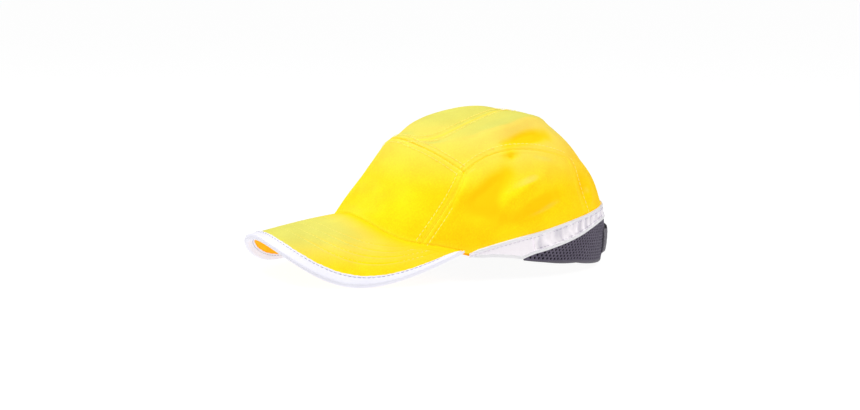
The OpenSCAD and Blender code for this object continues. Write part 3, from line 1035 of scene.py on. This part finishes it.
def rear_mesh():
    """The knitted mesh, and a near-black sheet behind it that is painted shade, so that its holes look
    dark.
    """
    panel = MeshPanel()
    points, faces = knit_net(panel)
    knit = add_mesh("rear_mesh_knit", panel.place(*points.T), faces, points[:, :2])
    finish_piece(knit, slate_mesh, "cover", "slate_mesh", "rear_mesh")
    net = strip(mesh_low, mesh_top, np.linspace(0, 1, 240), np.linspace(0, 1, 12))
    add_cloth(
        "rear_mesh_backing", crown(net, MESH_THICKNESS), crown(net, CLOTH),
        mesh_shade_backing, "cover", "slate_mesh", with_pieces=[knit],
    )


rear_mesh()


# ---------------------------------------------------------------- peak
OUTLINE_POWER = 2 / 2.34
PEAK_STANDS = 0.3
SLOPE_STEP = 0.5

# The peak's corners are tucked in under the crown cloth: over what share of the half peak, and how
# far they move, in mm
CORNER_TUCK = 0.05
CORNER_SHIFT = np.array([-4.6, 2.5, -0.9])

visor_seam_half = edge((VISOR_SEAM_FRONT, 11 / 16), (VISOR_SEAM_SIDE, 5 / 16))


def visor_height(x, y):
    forward = VISOR_FRONT - y
    arch = VISOR_ARCH - VISOR_ARCH_SHRINK * forward
    return VISOR_RISE - VISOR_FALL * forward - arch + np.sqrt(arch ** 2 - x ** 2)


def visor_seam(v):
    return signed(visor_seam_half(np.abs(v)), np.sign(v))


def visor_outline(v):
    angle = np.radians(90 * v)
    x = VISOR_HALF_WIDTH * np.sign(v) * np.abs(np.sin(angle)) ** OUTLINE_POWER
    return x, VISOR_BACK - (VISOR_TIP + VISOR_BACK) * np.abs(np.cos(angle)) ** OUTLINE_POWER


def corner_tuck(v):
    """1 at the peak's corners, and 0 away from them."""
    return 1 - smooth(1 - np.abs(v), 0, CORNER_TUCK)


def visor(v, s, depth=0.0):
    """Place in mm on the peak: v from -1 at its right corner to 1 at its left, s from
    0 at the crown seam to 1 at the outline."""
    root = crown(visor_seam(v), -PEAK_STANDS) - [0, CROWN_Y, 0]
    edge_x, edge_y = visor_outline(v)
    x = root[..., 0] * (1 - s) + edge_x * s
    y = root[..., 1] * (1 - s) + edge_y * s
    settle = (root[..., 2] - visor_height(root[..., 0], root[..., 1])) * (1 - s) ** 2
    normal = unit(np.stack([
        visor_height(x - SLOPE_STEP, y) - visor_height(x + SLOPE_STEP, y),
        visor_height(x, y - SLOPE_STEP) - visor_height(x, y + SLOPE_STEP),
        np.full_like(x, 2 * SLOPE_STEP),
    ], -1))
    place = np.stack([x, y + CROWN_Y, visor_height(x, y) + settle], -1)
    shift = CORNER_SHIFT * np.stack([np.sign(v), np.ones_like(v), np.ones_like(v)], -1)
    return place + corner_tuck(v)[..., None] * shift - np.asarray(depth)[..., None] * normal


LEAST_SHARE = 0.2


def visor_share(v, short):
    """Share of the way from seam to outline that is a length in mm short of it."""
    length = np.linalg.norm(visor(v, 1) - visor(v, 0), axis=-1)
    return np.maximum(LEAST_SHARE, 1 - short / length)


# The root of the peak's cloths goes up and in behind the crown seam, in mm
TUCK_IN, TUCK_UP = 1.6, 1.5


def tucked_in(v, net):
    """The net with one more row, which tucks its root into the crown seam."""
    seam = visor_seam(v)
    inward = crown(raised(seam, TUCK_UP), TUCK_IN) - crown(seam, -PEAK_STANDS)
    return np.concatenate([net[:1] + inward, net])


EDGE_GAP = 0.7
PEAK_COLUMNS, PEAK_ROWS = 241, 111

# Relief of the peak's cloths in mm: rolled in at the seam, uneven, and pulled down by rows of quilting
# at these lengths from the edge, which begin some way out from the seam
ROOT_DIP, ROOT_WIDTH = 0.35, 1.3
UNEVEN, UNEVEN_SCALE, CLOTH_PROUD = 0.12, 24, 0.2
QUILT_ROWS = (21, 29, 37, 45)
QUILT_DEPTH, QUILT_WIDTH, QUILT_START = 0.2, 0.7, (3, 6)
EDGE_WEAR, EDGE_WEAR_WIDTH = 0.25, 2
# Painted shade where the crown's shadow falls on the peak: how far it reaches from the seam in mm at the
# middle, and how much farther at the corners
SHADE_FRONT, SHADE_SIDE = 7.0, 16.0


def visor_cloth(name, outside, inside, material, slot, node_name, seed):
    """One cloth of the peak, with its quilting rows, between two depths: the face at
    outside is the one that shows."""
    v, rows = np.linspace(-1, 1, PEAK_COLUMNS), np.linspace(0, 1, PEAK_ROWS)
    v_net, s_net = np.meshgrid(v, rows)
    s_net = s_net * visor_share(v, EDGE_GAP)
    base = visor(v_net, s_net)
    from_seam, from_edge, _, _ = edge_distances(base)
    dip = ROOT_DIP * hump(from_seam, ROOT_WIDTH) - CLOTH_PROUD
    dip -= UNEVEN * soft_noise(base, UNEVEN_SCALE, seed)
    for row in QUILT_ROWS:
        dip += QUILT_DEPTH * smooth(from_seam, *QUILT_START) * hump(from_edge - row, QUILT_WIDTH)
    wear = EDGE_WEAR * np.exp(-np.abs(from_edge - BINDING_TOP) / EDGE_WEAR_WIDTH)
    # Painted shade of the crown's shadow on the peak, near the seam
    sheltered = np.exp(-from_seam / (SHADE_FRONT + SHADE_SIDE * v ** 2))
    tucked = [0, *range(PEAK_ROWS)]
    face = visor(v_net, s_net, outside + np.sign(inside - outside) * dip)
    add_cloth(
        name, tucked_in(v, face), tucked_in(v, visor(v_net, s_net, inside)),
        material, "cover", slot, node_name, flat=base, wear=wear[tucked], sheltered=sheltered[tucked],
    )


visor_cloth("peak_top_cloth", 0.0, VISOR_CLOTH, yellow, "yellow_twill", "visor_top_cloth", 11)
# The underside cloth takes the painted shade copy of the twill
visor_cloth(
    "peak_under_cloth", PEAK_THICK, PEAK_THICK - VISOR_CLOTH, shaded_yellow, "gold_twill",
    "visor_under_cloth", 12,
)

# The binding in mm: how far its outer and inner faces stand off the peak's cloths, how far inside
# the outline its turn begins and how far round it goes, and how much of it closes at the corners
BINDING_STANDS, BINDING_LINING = 0.8, 0.35
TURN_START, TURN_OUT = 1.4, 2.1
LINING_START, LINING_OUT, LINING_THINNER = 1.9, 1.5, 0.45
BINDING_PINCH = 0.45
BINDING_EDGE = 0.2
BINDING_DIP, BINDING_DIP_WIDTH = 0.3, 0.45
BINDING_PUCKER, BINDING_PUCKER_ZONE = 0.1, (3, 6)


def binding_profile():
    """The binding's section as (length inside the outline, depth) points."""
    middle = PEAK_THICK / 2
    turn = np.linspace(0, math.pi, 13)
    deep = middle + BINDING_STANDS
    thin = deep - LINING_THINNER
    outer = [(TURN_START - TURN_OUT * math.sin(a), middle - deep * math.cos(a)) for a in turn]
    inner = [(LINING_START - LINING_OUT * math.sin(a), middle + thin * math.cos(a)) for a in turn[::2]]
    steps = (1, 0.92, 0.87, 0.8, 0.71, 0.56, 0.38, 0.24)
    top = [(t * BINDING_TOP, -BINDING_STANDS) for t in steps]
    bottom = [(t * BINDING_UNDER, PEAK_THICK + BINDING_STANDS) for t in steps[::-1]]
    top_in = [(t, -BINDING_LINING) for t in (2.6, 5, BINDING_TOP)]
    bottom_in = [(t, PEAK_THICK + BINDING_LINING) for t in (BINDING_UNDER, 4, 2.6)]
    return np.array(top + outer + bottom + bottom_in + inner + top_in)


def peak_binding():
    """The binding round the peak: it dips at its stitches, puckers, and narrows at the corners."""
    v = np.sin(np.linspace(-math.pi / 2, math.pi / 2, 420))
    inset, depth = binding_profile().T
    v_net = np.repeat(v[:, None], len(inset), 1)
    run = run_of(visor(v, 1))[:, None]
    above = np.sign(PEAK_THICK / 2 - depth)
    width = np.where(above > 0, BINDING_TOP, BINDING_UNDER)
    inset = inset + BINDING_EDGE * wobble(run, 2.0) * smooth(inset, width - 1.5, width)
    seam_dip = BINDING_DIP * hump(inset - width + BINDING_STITCH, BINDING_DIP_WIDTH)
    pucker = BINDING_PUCKER * wobble(run, 0.7) * smooth(inset, *BINDING_PUCKER_ZONE)
    rings = visor(v_net, visor_share(v_net, inset), depth + above * (seam_dip + pucker))
    middle = rings.mean(1, keepdims=True)
    rings += BINDING_PINCH * corner_tuck(v)[:, None, None] * (middle - rings)
    piece = loop_sweep("peak_edge_binding", rings)
    finish_piece(piece, binding_white, "cover", "silver_binding", "visor_edge_binding")


peak_binding()

BOARD_SPAN = 0.9
BOARD_ROOT = 0.02
BOARD_INSET = 1.5
BOARD_PLAY = 0.05


def peak_board():
    """The stiff board between the two cloths, its corners cut back from the crown."""
    v = np.linspace(-BOARD_SPAN, BOARD_SPAN, 161)
    v_net, s_net = np.meshgrid(v, np.linspace(BOARD_ROOT, 1, 41))
    s_net = s_net * visor_share(v, BOARD_INSET)
    top = visor(v_net, s_net, VISOR_CLOTH + BOARD_PLAY)
    bottom = visor(v_net, s_net, VISOR_CLOTH + BOARD - BOARD_PLAY)
    piece = sheet_between("peak_board_blank", top, bottom)
    finish_piece(piece, board_plastic, "cover", "board_plastic", "visor_board")


peak_board()


# ---------------------------------------------------------------- inside of the cover
SWEATBAND_LOW, SWEATBAND_HIGH = 1.6, 24.0
SWEATBAND_BULGE = 0.35
SEAM_TAPE_OUT, SEAM_TAPE_IN = 1.4, 2.0
SEAM_TAPE_HALF = 5.6
MAP_HALF_SIDE, MAP_HALF_CENTRE = 0.034, 0.03
SIDE_TAPE_START, CENTRE_TAPE_START = 0.1, 0.19


def lifted(line, length):
    """A map edge moved towards the apex by a length in mm."""
    return lambda t: raised(line(t), length)


def rest_of(line, start, sideways):
    """A map edge from a share of its length on, moved sideways on the map."""
    return lambda t: line(start + (1 - start) * t) + [sideways, 0]


def sweatband():
    """A soft band inside the rim, a little thicker along its middle."""
    rim = both_sides(edge(
        (VISOR_SEAM_FRONT, 6 / 16), (VISOR_SEAM_SIDE, 2 / 16), (RIM_FRONT, 3 / 16), (RIM_SIDE, 5 / 16)
    ))
    b = np.linspace(0, 1, 14)
    net = strip(lifted(rim, SWEATBAND_LOW), lifted(rim, SWEATBAND_HIGH), np.linspace(0, 1, 320), b)
    thinner = SWEATBAND_BULGE * (1 - np.sin(np.pi * b)[:, None] ** 0.5)
    piece = sheet_between("sweatband_band", crown(net, BAND_OUT), crown(net, BAND_IN - thinner))
    finish_piece(piece, towelling, "cover", "sweatband_cloth", "sweatband")


def seam_tape(name, low, high, count, node_name):
    net = strip(low, high, np.linspace(0, 1, count), np.linspace(0, 1, 5))
    add_cloth(
        name, crown(net, SEAM_TAPE_OUT), crown(net, SEAM_TAPE_IN), yellow, "cover", "seam_tape", node_name,
    )


sweatband()
seam_tape(
    "front_seam_tape", lifted(front_top, -SEAM_TAPE_HALF), lifted(front_top, SEAM_TAPE_HALF),
    90, "front_seam_binding",
)
for side in ("left", "right"):
    lines = [rest_of(top_side, SIDE_TAPE_START, x) for x in (MAP_HALF_SIDE, -MAP_HALF_SIDE)]
    seam_tape(f"side_seam_tape_{side}", *on_side(side, *lines), 90, f"side_seam_binding_{side}")
lines = [rest_of(centre_line, CENTRE_TAPE_START, x) for x in (MAP_HALF_CENTRE, -MAP_HALF_CENTRE)]
seam_tape("centre_seam_tape", *lines, 160, "centre_seam_binding")


# ---------------------------------------------------------------- rear strap
# Angles in degrees from the back centre, rising to the wearer's right: the sewn ends are at
# STRAP_END on each side, and the hook strap's loose end is at STRAP_OVERLAP
STRAP_END = 42
LOOP_START = 4 - STRAP_END
STRAP_OVERLAP = 26
DEGREE_LENGTH = 90 * math.pi / 180  # mm of strap to a degree
SELVEDGE = 0.3
ROUND_SHARE, TIP_SHARE = 0.86, 0.05

# The hook strap leaves the loop strap's level by a lift in mm, between two angles from its sewn end
HOOK_LIFT, HOOK_LIFT_ENDS = 1.3, (1.5, 7)
HOOK_RIBS = 0.05
PATCH_START, PATCH_MARGIN = 5, 1.5

# Depths in mm of the straps' outer and inner faces, and of the level the hook tape is cut to
LOOP_FACES = (-0.9, 0.1)
HOOK_OUT, HOOK_IN = -2.5, -1.5
PATCH_FACES = (-1.45, -1.0)
PATCH_CUT = -2.4


def back_map(height, turn):
    """Map point at a height in mm, at degrees from the back centre towards the right."""
    reach = 1 - np.degrees(np.arcsin(height / CROWN_HEIGHT)) / 90
    turn = np.radians(turn)
    return reach[..., None] * np.stack([-np.sin(turn), np.cos(turn)], -1)


def strap_net(first, last, low, high, count, rows, round_end=0.0):
    """Map points of a level strap between two angles, its far end rounded."""
    turn = np.linspace(first, last, count)
    full = np.ones(count)
    if round_end:
        x = np.clip(1 - (last - turn) * DEGREE_LENGTH / round_end, 0, 1)
        blunt = ROUND_SHARE * np.sqrt(1 - x ** 2) + (1 - ROUND_SHARE) * (1 - x ** 6)
        full = np.maximum(blunt, TIP_SHARE)
    share = np.linspace(-1, 1, rows)[:, None]
    return back_map((low + high) / 2 + share * (high - low) / 2 * full, turn)


def webbing_strap(name, net, out, back, material, body, slot, node_name, ribs=0.0):
    """A strap between two depths, with rounded selvedges."""
    across = np.linspace(-1, 1, len(net))[:, None]
    thin = SELVEDGE * np.abs(across) ** 6
    rib = ribs * np.sin(across * math.pi * 4) * (1 - np.abs(across) ** 8)
    return add_cloth(
        name, crown(net, out + thin - rib), crown(net, back - thin),
        material, body, slot, node_name, wear=np.abs(across) ** 10,
    )


loop_net = strap_net(LOOP_START, STRAP_END, STRAP_LOW, STRAP_HIGH, 150, 15)
webbing_strap("rear_loop_strap", loop_net, *LOOP_FACES, loop_pile, "cover", "loop_pile", "loop_strap")

hook_turn = np.linspace(-STRAP_END, STRAP_OVERLAP, 140)
hook_net = strap_net(-STRAP_END, STRAP_OVERLAP, STRAP_LOW, STRAP_HIGH, 140, 15, 9.0)
lift = HOOK_LIFT * (1 - smooth(hook_turn + STRAP_END, *HOOK_LIFT_ENDS))
hook_piece = webbing_strap(
    "rear_hook_strap", hook_net, lift + HOOK_OUT, lift + HOOK_IN, webbing, None, "slate_webbing",
    "hook_strap", HOOK_RIBS,
)

patch_net = strap_net(
    PATCH_START, STRAP_OVERLAP - 1, STRAP_LOW + PATCH_MARGIN, STRAP_HIGH - PATCH_MARGIN, 60, 12, 7.0,
)
add_cloth(
    "rear_hook_tape", *(crown(patch_net, depth) for depth in PATCH_FACES),
    hook_tape, "strap", "hook_tape", "hook_patch", flat=crown(patch_net, PATCH_CUT),
)


# ---------------------------------------------------------------- shell, liner and pads
BOWL_COLUMNS, BOWL_ROWS = 160, 40
RIM_SIDE_REACH, RIM_FRONT_REACH, RIM_BACK_REACH = 0.8, 0.7, 0.73
RIM_ROLL_WIDTH = 3.0
VENT = 9
VENT_SIDES, VENT_CUT = 36, 24
SHARP_ANGLE = 40


def insert_rim(turn, share):
    """Map point of the shell's rim, scaled by share, at an angle from the front."""
    along = np.where(np.cos(turn) > 0, RIM_FRONT_REACH, RIM_BACK_REACH)
    m = np.stack([RIM_SIDE_REACH * np.sin(turn), -along * np.cos(turn)], -1)
    return np.asarray(share)[..., None] * m


def bowl(name, share, out, back, lip):
    """A thin bowl that follows the crown from a rolled rim up over the apex."""
    turn = np.linspace(0, 2 * math.pi, BOWL_COLUMNS, endpoint=False)
    up = (np.linspace(0, 1, BOWL_ROWS, endpoint=False) ** 1.1)[:, None]
    m = insert_rim(turn, share * (1 - up))
    rolled = lip * hump(up * MAP_LENGTH * 0.75 * share, RIM_ROLL_WIDTH)
    apex = crown(np.zeros((2, 2)), np.array([out, back]))
    layers = [crown(m, out - rolled).reshape(-1, 3), crown(m, back + rolled).reshape(-1, 3)]
    size, last = BOWL_ROWS * BOWL_COLUMNS, (BOWL_ROWS - 1) * BOWL_COLUMNS
    faces = []
    for i in range(BOWL_COLUMNS):
        n = (i + 1) % BOWL_COLUMNS
        for row in range(0, last, BOWL_COLUMNS):
            a, b = row + i, row + n
            faces.append([a, b, b + BOWL_COLUMNS, a + BOWL_COLUMNS])
            faces.append([size + a, size + a + BOWL_COLUMNS, size + b + BOWL_COLUMNS, size + b])
        faces.append([last + i, last + n, 2 * size])
        faces.append([size + last + n, size + last + i, 2 * size + 1])
        faces.append([i, size + i, size + n, n])
    return add_mesh(name, np.concatenate([*layers, apex]), faces)


def hole_cutters(rings_of_holes):
    """Round rods square to the shell, as one object: (reach on the map, diameter, count, first angle)."""
    cutters = bmesh.new()
    for reach, diameter, count, first in rings_of_holes:
        for k in range(count):
            m = insert_rim(np.array(math.radians(first + 360 * k / count)), reach)
            outside, inside = crown(m, SHELL_OUT), crown(m, LINER_IN + 4)
            turned = Vector(outside - inside).to_track_quat("Z", "Y").to_matrix().to_4x4()
            radius = diameter / 2 * MM
            bmesh.ops.create_cone(
                cutters, cap_ends=True, segments=VENT_SIDES, radius1=radius, radius2=radius,
                depth=VENT_CUT * MM, matrix=Matrix.Translation(Vector(outside) * MM) @ turned,
            )
    mesh = bpy.data.meshes.new("hole_cutters")
    cutters.to_mesh(mesh)
    cutters.free()
    cutter = bpy.data.objects.new("hole_cutters", mesh)
    bpy.context.scene.collection.objects.link(cutter)
    return cutter


def cut_holes(piece, *rings_of_holes):
    """The bowl with rings of round holes cut through it."""
    cutter = hole_cutters(rings_of_holes)
    cut = piece.modifiers.new("holes", "BOOLEAN")
    cut.object = cutter
    cut.solver = "EXACT"
    bpy.context.view_layer.update()
    depsgraph = bpy.context.evaluated_depsgraph_get()
    result = bpy.data.meshes.new_from_object(piece.evaluated_get(depsgraph))
    piece.modifiers.clear()
    piece.data = result
    bpy.data.objects.remove(cutter)
    result.set_sharp_from_angle(angle=math.radians(SHARP_ANGLE))
    return piece


shell = bowl("hard_shell_cap", 1.0, SHELL_OUT, SHELL_IN, 0.25)
cut_holes(shell, (0.78, VENT, 12, 15), (0.42, VENT, 6, 30))
finish_piece(shell, shell_plastic, "shell", "shell_abs", "hard_shell")
liner = bowl("foam_liner_cap", 0.95, LINER_OUT, LINER_IN, 0.0)
cut_holes(liner, (0.56, 2 * VENT, 8, 22.5))
finish_piece(liner, eva, "liner", "eva_foam", "foam_liner")


# A pad's edges in mm: how thin they are and over what width, and how far its face is rounded off
EDGE_THIN, EDGE_THIN_WIDTH = 0.55, 5
EDGE_ROUND, EDGE_ROUND_WIDTH = 0.9, 1.6
PAD_CORNERS = 0.93


def cushion(node_name, net):
    """A foam pad over a net of map points: its inner face is crowned and its edges are
    pulled thin."""
    near = np.minimum.reduce(edge_distances(crown(net)))
    thick = EDGE_THIN + (1 - EDGE_THIN) * smooth(near, 0, EDGE_THIN_WIDTH)
    inner = crown(net, PAD_OUT + (PAD_IN - PAD_OUT) * thick)
    outer = crown(net, PAD_OUT + EDGE_ROUND * (1 - smooth(near, 0, EDGE_ROUND_WIDTH)))
    piece = sheet_between(f"{node_name}_cushion", outer, inner)
    finish_piece(piece, pad_foam, "liner", "pad_foam", node_name)


def pad_net(first, last, low, high):
    """Net of a pad between two angles from the front and two reaches, corners rounded."""
    x, y = np.meshgrid(np.linspace(-1, 1, 61), np.linspace(-1, 1, 37))
    u = x * np.sqrt(1 - PAD_CORNERS * y ** 2 / 2 * np.abs(x) ** 4)
    w = y * np.sqrt(1 - PAD_CORNERS * x ** 2 / 2 * np.abs(y) ** 4)
    turn = np.radians((first + last) / 2 + (last - first) / 2 * u)
    reach = (low + high) / 2 + (high - low) / 2 * w
    return reach[..., None] * np.stack([np.sin(turn), -np.cos(turn)], -1)


def disc_net(reach, size=45):
    """Net of a round pad over the apex: a square laid on a disc."""
    x, y = np.meshgrid(np.linspace(-1, 1, size), np.linspace(-1, 1, size))
    u, w = x * np.sqrt(1 - y ** 2 / 2), y * np.sqrt(1 - x ** 2 / 2)
    return reach * np.stack([0.8 * u, 0.72 * w], -1)


cushion("front_pad", pad_net(-32, 32, 0.62, 0.42))
cushion("rear_pad", pad_net(148, 212, 0.64, 0.42))
cushion("side_pad_left", pad_net(66, 114, 0.7, 0.5))
cushion("side_pad_right", pad_net(-66, -114, 0.7, 0.5))
cushion("crown_pad", disc_net(0.3))


# ---------------------------------------------------------------- topstitching
MAP_STEP = 1e-3

# Stitch length, gap between stitches, and half thickness of the thread, in mm
PANEL_THREAD = (2.6, 0.9, 0.22)
QUILT_THREAD = (2.4, 0.9, 0.17)
BINDING_THREAD = (2.6, 0.8, 0.2)
TAPE_THREAD = (2.4, 0.9, 0.18)
STRAP_THREAD = (2.2, 0.8, 0.2)
PATCH_THREAD = (2.2, 0.8, 0.18)

# Depths of the threads in mm, and how far in from an edge they run
PANEL_THREAD_DEPTH, QUILT_THREAD_DEPTH, TAPE_THREAD_DEPTH = -0.15, -0.02, -0.25
HOOK_THREAD_DEPTH, LOOP_THREAD_DEPTH = -1.25, -0.95
BINDING_THREAD_STANDS = 0.75
TAPE_THREAD_INSET, PATCH_THREAD_INSET = 2.2, 2.6
STRAP_THREAD_INSETS = (0.8, 3.4)
STRAP_THREAD_MARGIN = 1.5


def beside(line, offset):
    """Points of a seam line moved sideways on the crown by an offset in mm."""
    m = line(np.linspace(0, 1, 900))
    here = crown(m)
    ahead = unit(np.gradient(here, axis=0))
    east = (crown(m + [MAP_STEP, 0]) - here) / MAP_STEP
    south = (crown(m + [0, MAP_STEP]) - here) / MAP_STEP
    side = np.cross(unit(np.cross(east, south)), ahead)
    to_map = np.linalg.pinv(np.stack([east, south], -1))
    return m + (to_map @ (side * offset)[..., None])[..., 0]


def sewn(name, lines, length, gap, radius, material, slot, body="cover"):
    """Stitches along lines of points in mm, as one piece."""
    paths = [path for line in lines for path in stitches(line, length, gap)]
    finish_piece(tubes(name, paths, radius), material, body, slot)


def seam_line(line, offset):
    m = beside(line, offset)
    return crown(m, PANEL_THREAD_DEPTH - ridge(m))


def visor_line(short, depth, count=700, limit=0.9):
    v = np.linspace(-limit, limit, count)
    return visor(v, visor_share(v, short), depth)


def upright_line(turn, depth):
    """Up the rear strap at an angle from the back centre."""
    heights = np.linspace(STRAP_LOW + STRAP_THREAD_MARGIN, STRAP_HIGH - STRAP_THREAD_MARGIN, 120)
    return crown(back_map(heights, turn), depth)


panel_seams = [(front_top, 1), (front_top, -1), (centre_line, 1), (centre_line, -1)]
for line, way in ((front_side, 1), (front_side, -1), (top_side, 1), (side_back, -1)):
    panel_seams += [(line, way), (mirrored(line), -way)]
seam_lines = [seam_line(line, way * STITCH_OFFSET) for line, way in panel_seams]
sewn("crown_topstitching", seam_lines, *PANEL_THREAD, yellow_thread, "yellow_twill")

quilting = [visor_line(row, QUILT_THREAD_DEPTH, 600, 0.8) for row in QUILT_ROWS]
sewn("peak_quilting", quilting, *QUILT_THREAD, yellow_thread, "yellow_twill")

binding_seams = [
    visor_line(BINDING_TOP - BINDING_STITCH, -BINDING_THREAD_STANDS),
    visor_line(BINDING_UNDER - BINDING_STITCH, PEAK_THICK + BINDING_THREAD_STANDS),
]
sewn("peak_edge_stitching", binding_seams, *BINDING_THREAD, grey_thread, "silver_binding")

tape_t = np.linspace(0, 1, 1500)
tape_seams = [
    crown(raised(line(tape_t), way * TAPE_THREAD_INSET), TAPE_THREAD_DEPTH)
    for line, way in ((tape_top_whole, -1), (tape_low_back, 1))
]
sewn("tape_stitching", tape_seams, *TAPE_THREAD, grey_thread, "reflective_tape")

strap_seams = [upright_line(-STRAP_END + inset, HOOK_THREAD_DEPTH) for inset in STRAP_THREAD_INSETS]
strap_seams += [upright_line(STRAP_END - inset, LOOP_THREAD_DEPTH) for inset in STRAP_THREAD_INSETS]
sewn("strap_stitching", strap_seams, *STRAP_THREAD, slate_thread, "slate_webbing")

patch_turn = np.linspace(PATCH_START + 1, STRAP_OVERLAP - 5, 300)
patch_heights = (STRAP_LOW + PATCH_THREAD_INSET, STRAP_HIGH - PATCH_THREAD_INSET)
patch_seams = [crown(back_map(height, patch_turn), HOOK_OUT) for height in patch_heights]
sewn("hook_tape_stitching", patch_seams, *PATCH_THREAD, slate_thread, "slate_webbing", "strap")

# The hook strap goes over from sewn to free in the few degrees beside its hinge; here the hinge and a
# point near it are only looked up, and the strap's transform is baked into its mesh.
hinge = next(j for j in frame["record"]["behaviour"]["joints"] if j["name"] == "strap_peel")
free_from = crown(back_map(17.5, -STRAP_END + 8.0), -2.0) * MM
tuple(hinge["pos_m"])
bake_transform(hook_piece)


# ---------------------------------------------------------------- floor, lights and camera
# The floor's half width and its height, in mm, and how strongly it glows to the camera and to the cap
FLOOR_HALF, FLOOR_Z = 6000, -0.4
FLOOR_SEEN, FLOOR_LIT = 0.94, 0.75
LIT_AT = Vector((0, 0, 0.07))


def seen_or_lit(graph, seen, lit):
    """One strength as the camera sees it, and another for the light it sheds on the cap."""
    ray = graph.node("LightPath").outputs["Is Camera Ray"]
    return graph.calc("ADD", graph.calc("MULTIPLY", ray, seen - lit), lit)


def direction(azimuth, elevation):
    """From the cap towards an azimuth and an elevation in degrees."""
    a, e = math.radians(azimuth), math.radians(elevation)
    return Vector((math.sin(a) * math.cos(e), -math.cos(a) * math.cos(e), math.sin(e)))


def place_facing(name, data, target, away, distance):
    thing = bpy.data.objects.new(name, data)
    bpy.context.scene.collection.objects.link(thing)
    thing.location = target + away * distance
    thing.rotation_euler = away.to_track_quat("Z", "Y").to_euler()
    return thing


def pale_floor():
    corners = [(x * FLOOR_HALF, y * FLOOR_HALF, FLOOR_Z) for x, y in ((-1, -1), (1, -1), (1, 1), (-1, 1))]
    floor = add_mesh("floor", corners, [[0, 1, 2, 3]])
    material, graph, shader = new_material("pale_floor", 0.9)
    shader.inputs["Base Color"].default_value = (0.12, 0.12, 0.12, 1)
    shader.inputs["Emission Color"].default_value = (1, 1, 1, 1)
    graph.plug(shader.inputs["Emission Strength"], seen_or_lit(graph, FLOOR_SEEN, FLOOR_LIT))
    floor.data.materials.append(material)


def soft_light(name, azimuth, elevation, distance, size, power):
    """A square area light that shines at the middle of the cap."""
    data = bpy.data.lights.new(name, "AREA")
    data.size = size
    data.energy = power
    place_facing(name, data, LIT_AT, direction(azimuth, elevation), distance)


def white_world(strength):
    """White all round: the camera sees plain white, and the cap is lit at that strength."""
    world = bpy.data.worlds.new("white_world")
    world.use_nodes = True
    graph = Graph(world.node_tree)
    background = graph.nodes["Background"]
    graph.plug(background.inputs["Strength"], seen_or_lit(graph, 1, strength))
    background.inputs["Color"].default_value = (1, 1, 1, 1)
    bpy.context.scene.world = world


def photo_camera():
    """The camera looks from the cap's front left, a little above level."""
    data = bpy.data.cameras.new("camera")
    data.sensor_width = 36
    data.lens = 83.2
    data.shift_x = -0.0083
    data.shift_y = -0.0465
    target = Vector((0, 0.00695, 0.0735))
    bpy.context.scene.camera = place_facing("camera", data, target, direction(60.67, 6.85), 1.47)


pale_floor()
white_world(0.22)
soft_light("key", -30, 58, 1.6, 0.5, 16)
soft_light("fill", 110, 50, 1.8, 0.7, 12)
photo_camera()
bpy.context.scene.view_settings.view_transform = "Standard"
